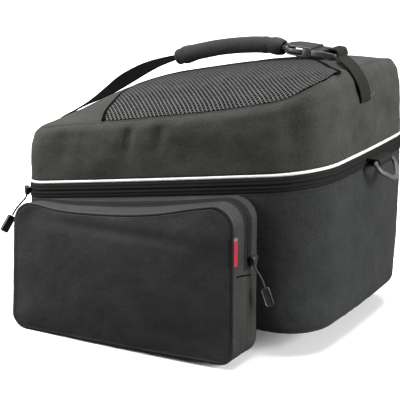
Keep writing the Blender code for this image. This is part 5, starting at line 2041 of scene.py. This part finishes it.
@dataclass
class SidePocket(SubAssembly):
    """Flat side pocket: back, zip with the gusset below it, and a soft sagging front."""

    centre_x: float = -0.0140
    width: float = 0.264
    depth: float = 0.050
    back_gap: float = 0.0006
    bottom: float = 0.0008
    bottom_rise: float = 0.0050
    top_radius: float = 0.022
    bottom_radius: float = 0.016
    bulge: float = 0.0060
    spread: float = 0.0090
    sag: float = 0.0063
    back_strip: float = 0.0135
    zip_width: float = 0.0070
    zip_end: float = 0.100
    seam_gap: float = 0.0003
    tuck: float = 0.0010
    back_profile: Pairs = ((0.0, -0.002), (0.0006, 0.0), (0.003, 0.0006), (0.007, 0.0008), (0.011, 0.0004))
    tape_profile: Pairs = (
        (0.0, 0.0), (0.10, 0.0008), (0.30, 0.0012), (0.40, 0.0010), (0.47, 0.0), (0.53, 0.0), (0.60, 0.0010),
        (0.70, 0.0012), (0.90, 0.0008), (1.0, 0.0),
    )
    gusset_profile: Pairs = ((0.0, 0.0), (0.5, 0.0005), (1.0, 0.0))
    front_turn: Pairs = (
        (-0.0002, -0.0045), (0.0006, -0.0030), (0.0001, -0.0018), (-0.0006, -0.0006), (-0.0003, 0.0007),
        (0.0008, 0.0010), (0.0018, 0.0002), (0.0026, -0.0002),
    )
    top_drop: float = 0.0175
    sags: SmoothTable = SmoothTable(
        (0.0, 0.09, 0.2, 0.42, 0.66, 0.87, 1.0), (-1.1, -1.0, 0.0, 0.9, 1.0, 0.15, -0.1)
    )
    dents: tuple[SoftPlace, ...] = (
        SoftPlace((-0.020, -0.190, 0.128), (0.085, 0.02, 0.006), 0.0018),
        SoftPlace((-0.125, -0.190, 0.128), (0.012, 0.02, 0.016), 0.0016),
        SoftPlace((0.095, -0.190, 0.135), (0.016, 0.02, 0.012), 0.0012, Side.OUT),
        SoftPlace((-0.120, -0.190, 0.020), (0.030, 0.02, 0.014), 0.0014, Side.OUT),
        SoftPlace((0.080, -0.190, 0.030), (0.050, 0.02, 0.012), 0.0012),
    )

    def outline(self, inset: float, share: float) -> Grid:
        """Draws the pocket's outline in x and z, from the zip's end over the top first.

        Args:
            inset: How far it is drawn in.
            share: Share of the pocket's depth, which sags its top and spreads its lower corner.

        Returns:
            Points of the closed outline.
        """
        left = self.centre_x - self.width / 2 + inset
        right = self.centre_x + self.width / 2 - inset
        top_r, low_r = self.top_radius - inset, self.bottom_radius - inset

        def top(x: Grid) -> Grid:
            """Gives the top edge's height."""
            drop = share * self.sag * self.sags.at((x - left) / (right - left))
            return FORM.zip_line(x) - self.top_drop - 0.0009 - inset - drop

        def low(x: Grid) -> Grid:
            """Gives the bottom edge's height."""
            return self.bottom + inset + self.bottom_rise * (x - left) / (right - left)

        tr, tl = float(top(np.array(right - top_r))), float(top(np.array(left + top_r)))
        lr, ll = float(low(np.array(right - low_r))), float(low(np.array(left + low_r)))
        split = self.zip_end
        xs_top = np.linspace(right - top_r, left + top_r, 62)[1:-1]
        xs_low = np.linspace(left + low_r, right - low_r, 52)[1:-1]
        rows = [
            np.column_stack([np.full(10, right), np.linspace(split, tr - top_r, 11)[:-1]]),
            BagForm.turn(right - top_r, tr - top_r, top_r, 0.0, 12),
            np.column_stack([xs_top, top(xs_top)]),
            BagForm.turn(left + top_r, tl - top_r, top_r, 90.0, 12),
            np.column_stack([np.full(9, left), np.linspace(tl - top_r, split, 11)[1:-1]]),
            np.column_stack([np.full(18, left), np.linspace(split, ll + low_r, 19)[:-1]]),
            BagForm.turn(left + low_r, ll + low_r, low_r, 180.0, 12),
            np.column_stack([xs_low, low(xs_low)]),
            BagForm.turn(right - low_r, lr + low_r, low_r, 270.0, 12),
            np.column_stack([np.full(18, right), np.linspace(lr + low_r, split, 20)[1:-1]]),
        ]
        points = np.concatenate(rows)
        fall = np.clip(1.0 - points[:, 1] / tl, 0.0, 1.0)
        points[:, 0] -= self.spread * fall * (right - points[:, 0]) / (right - left) * share
        return points

    def zip_points(self) -> int:
        """Gives how many outline points the zip takes."""
        return 10 + 13 + 60 + 13 + 9 + 1

    def ring(self, inset: float, depth: float) -> Grid:
        """Gives the outline in space at a depth in front of the pocket's back.

        Args:
            inset: How far it is drawn in.
            depth: Depth in front of the back.

        Returns:
            Points of the closed outline.
        """
        flat = self.outline(inset, depth / self.depth)
        y = self.back(flat[:, 0]) - depth
        return np.column_stack([flat[:, 0], y, flat[:, 1]])

    def back(self, x: Grid) -> Grid:
        """Gives the back plane, which follows the tub's side."""
        return -(FORM.width / 2 + FORM.bow(x)) - self.back_gap

    def strip(self, name: str, profile: Pairs, part: Section, material: Finish) -> Piece:
        """Sweeps a strip round the outline.

        Args:
            name: Name of the piece.
            profile: Depth and how far it stands out, from back to front.
            part: Which part of the outline it takes.
            material: Its finish.

        Returns:
            The strip.
        """
        rows = np.array([self.ring(-proud, depth) for depth, proud in profile])
        turn = self.zip_points()
        if part is Section.ZIP:
            rows = rows[:, :turn]
        elif part is Section.GUSSET:
            rows = np.concatenate([rows[:, turn - 1 :], rows[:, :1]], axis=1)
        closed = part is Section.WHOLE
        line = rows[len(rows) // 2]
        run = loop_length(line) if closed else run_length(line)
        up = run_length(np.array([[d, p, 0.0] for d, p in profile]))
        rows = soften(rows, closed, 0.0003, 0.022, 2.2)
        return sheet_object(name, rows, metres_grid(run, up), closed, material)

    def tucked(self, profile: Pairs) -> list[tuple[float, float]]:
        """Lays a profile over the zip's width, with both edges turned in.

        Args:
            profile: Share of the width and how far it stands out, from back to front.

        Returns:
            Depth and how far it stands out, from back to front.
        """
        start = self.back_strip + self.seam_gap
        rows = [(start + self.zip_width * share, proud) for share, proud in profile]
        return [(start - 0.0002, -self.tuck), *rows, (start + self.zip_width + 0.0002, -self.tuck)]

    def front(self) -> Piece:
        """Builds the front: its side, the seam and the bulged panel.

        Returns:
            The front.
        """
        start = self.back_strip + self.seam_gap + self.zip_width + 0.0002
        rows = [self.ring(0.0015, start + 0.0004), self.ring(0.0, start), self.ring(-0.0004, start + 0.002)]
        rows += [self.ring(-0.0006, d) for d in np.linspace(start + 0.005, self.depth - 0.0065, 9)]
        rows += [self.ring(inset, self.depth + past) for inset, past in self.front_turn]
        side_count = len(rows)
        edge = self.ring(0.0, self.depth)
        middle = edge.mean(axis=0)
        for scale in (0.965, 0.95, 0.93, 0.90, *np.linspace(0.86, 0.0, 30)):
            x = middle[0] + (edge[:, 0] - middle[0]) * scale
            z = middle[2] + (edge[:, 2] - middle[2]) * scale
            swell = self.bulge * (1.0 - scale**2.6) + 0.0006
            rows.append(np.column_stack([x, self.back(x) - self.depth - swell, z]))
        grid = np.array(rows)
        index = np.arange(len(edge))
        crisp = np.interp(index, [0, 80, 96, len(edge) - 31, len(edge) - 18, len(edge)], [1, 1, 0, 0, 1, 1])
        grid[side_count - 2, :, 1] -= 0.0012 * (1.0 - crisp)
        grid[side_count - 1, :, 1] -= 0.0017 * (1.0 - crisp)
        panel = soften(
            grid[side_count:], True, 0.0008, 0.042, 5.9, self.dents, lambda s: np.clip(s / 0.08, 0.0, 1.0)
        )
        sides = soften(grid[:side_count], True, 0.0004, 0.020, 1.9)
        grid = np.concatenate([sides, panel])
        run = loop_length(edge)
        up = rise_length(grid)
        uv = metres_grid(run, up)
        flat = grid[side_count:][:, :, [0, 2]]
        uv[side_count:] = np.concatenate([flat, flat[:, :1]], axis=1)
        piece = sheet_object("pocket_front_cloth", grid, uv, True, self.finishes.pocket, True)
        piece.data.materials.append(self.finishes.gusset)
        piece.data.materials.append(self.finishes.tape)
        columns = len(edge)
        for polygon in piece.data.polygons:
            row = polygon.index // columns
            if row < side_count - 8:
                polygon.material_index = 2 if row < 5 and polygon.index % columns < self.zip_points() else 1
        return piece

    def end_seam(self) -> Piece:
        """Sews the narrow seam across the side where the zip ends.

        Returns:
            The seam.
        """
        x = self.centre_x + self.width / 2
        back = float(self.back(np.array(x)))
        start = self.back_strip + 0.002
        line = [
            (back - self.depth + 0.0050, x + 0.0004, self.zip_end - 0.0015, 0.0008, 0.0007),
            (back - start - 0.012, x + 0.0006, self.zip_end - 0.0045, 0.0008, 0.0007),
            (back - start, x + 0.0006, self.zip_end - 0.0075, 0.0008, 0.0007),
        ]
        return moulded_bar("pocket_end_seam", line, Axis.Y, self.finishes.webbing, 10)

    def tag(self) -> Piece:
        """Folds the small blank ribbon in the front seam.

        Returns:
            The tag.
        """
        low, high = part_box("side_tag")
        middle = (low + high) / 2
        reach = (high.y - low.y) / 2
        half = (high.z - low.z) / 2
        rows = []
        profile = (
            (-0.0004, 1.0), (0.0002, 1.0), (0.0007, 0.6), (0.0007, 0.0), (0.0007, -0.7), (0.0004, -1.0),
            (-0.0002, -1.0), (-0.0005, -0.6), (-0.0005, 0.6),
        )
        for x, share in profile:
            y = middle.y + share * reach
            rows.append([(middle.x + x, y, middle.z + half * t) for t in np.linspace(-1, 1, 12)])
        grid = np.array(rows)
        uv = metres_grid(np.linspace(0, 2 * half, 12), np.linspace(0, 0.016, len(profile)))
        ribbon_tag = sheet_object("side_ribbon", grid[:, ::-1], uv, False, self.finishes.tag)
        ribbon_tag.data.materials.append(self.finishes.stub)
        columns = len(grid[0]) - 1
        for polygon in ribbon_tag.data.polygons:
            if polygon.index % columns == 0:
                polygon.material_index = 1
        return ribbon_tag

    def build(self) -> None:
        """Builds the pocket."""
        cloth, tape, edge = self.finishes.gusset, self.finishes.tape, self.back_strip
        back_rows = (*self.back_profile, (edge, -0.0002), (edge + self.seam_gap, -0.0012))
        back = self.strip("pocket_back_cloth", back_rows, Section.WHOLE, cloth)
        tapes = self.strip("pocket_zip_tapes", self.tucked(self.tape_profile), Section.ZIP, tape)
        gusset = self.strip("pocket_gusset_cloth", self.tucked(self.gusset_profile), Section.GUSSET, cloth)
        front = self.front()
        tag = self.tag()
        seam = self.end_seam()
        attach(seam, "bag")
        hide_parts("pocket_back")
        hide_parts("pocket_zip", "pocket_coil")
        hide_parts("pocket_gusset")
        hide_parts("pocket_front")
        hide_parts("side_tag")
        for piece in (back, tapes, gusset, front, tag):
            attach(piece, "bag")
        LOG.info("side pocket: back, zip, gusset, front and blank tag")


def note_sizes() -> None:
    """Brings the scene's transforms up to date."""
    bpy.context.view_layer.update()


def main() -> None:
    """Builds the bag's sub-assemblies in order."""
    logging.basicConfig(level=logging.INFO, format="%(name)s: %(message)s")
    finishes = FinishShelf.stocked()
    for kind in (Studio, PullCords, Tub, MainZip, Piping, Lid, MeshNet, SidePocket, Handle, RearRing):
        kind(finishes).build()
    note_sizes()


if __name__ == "__main__":
    main()
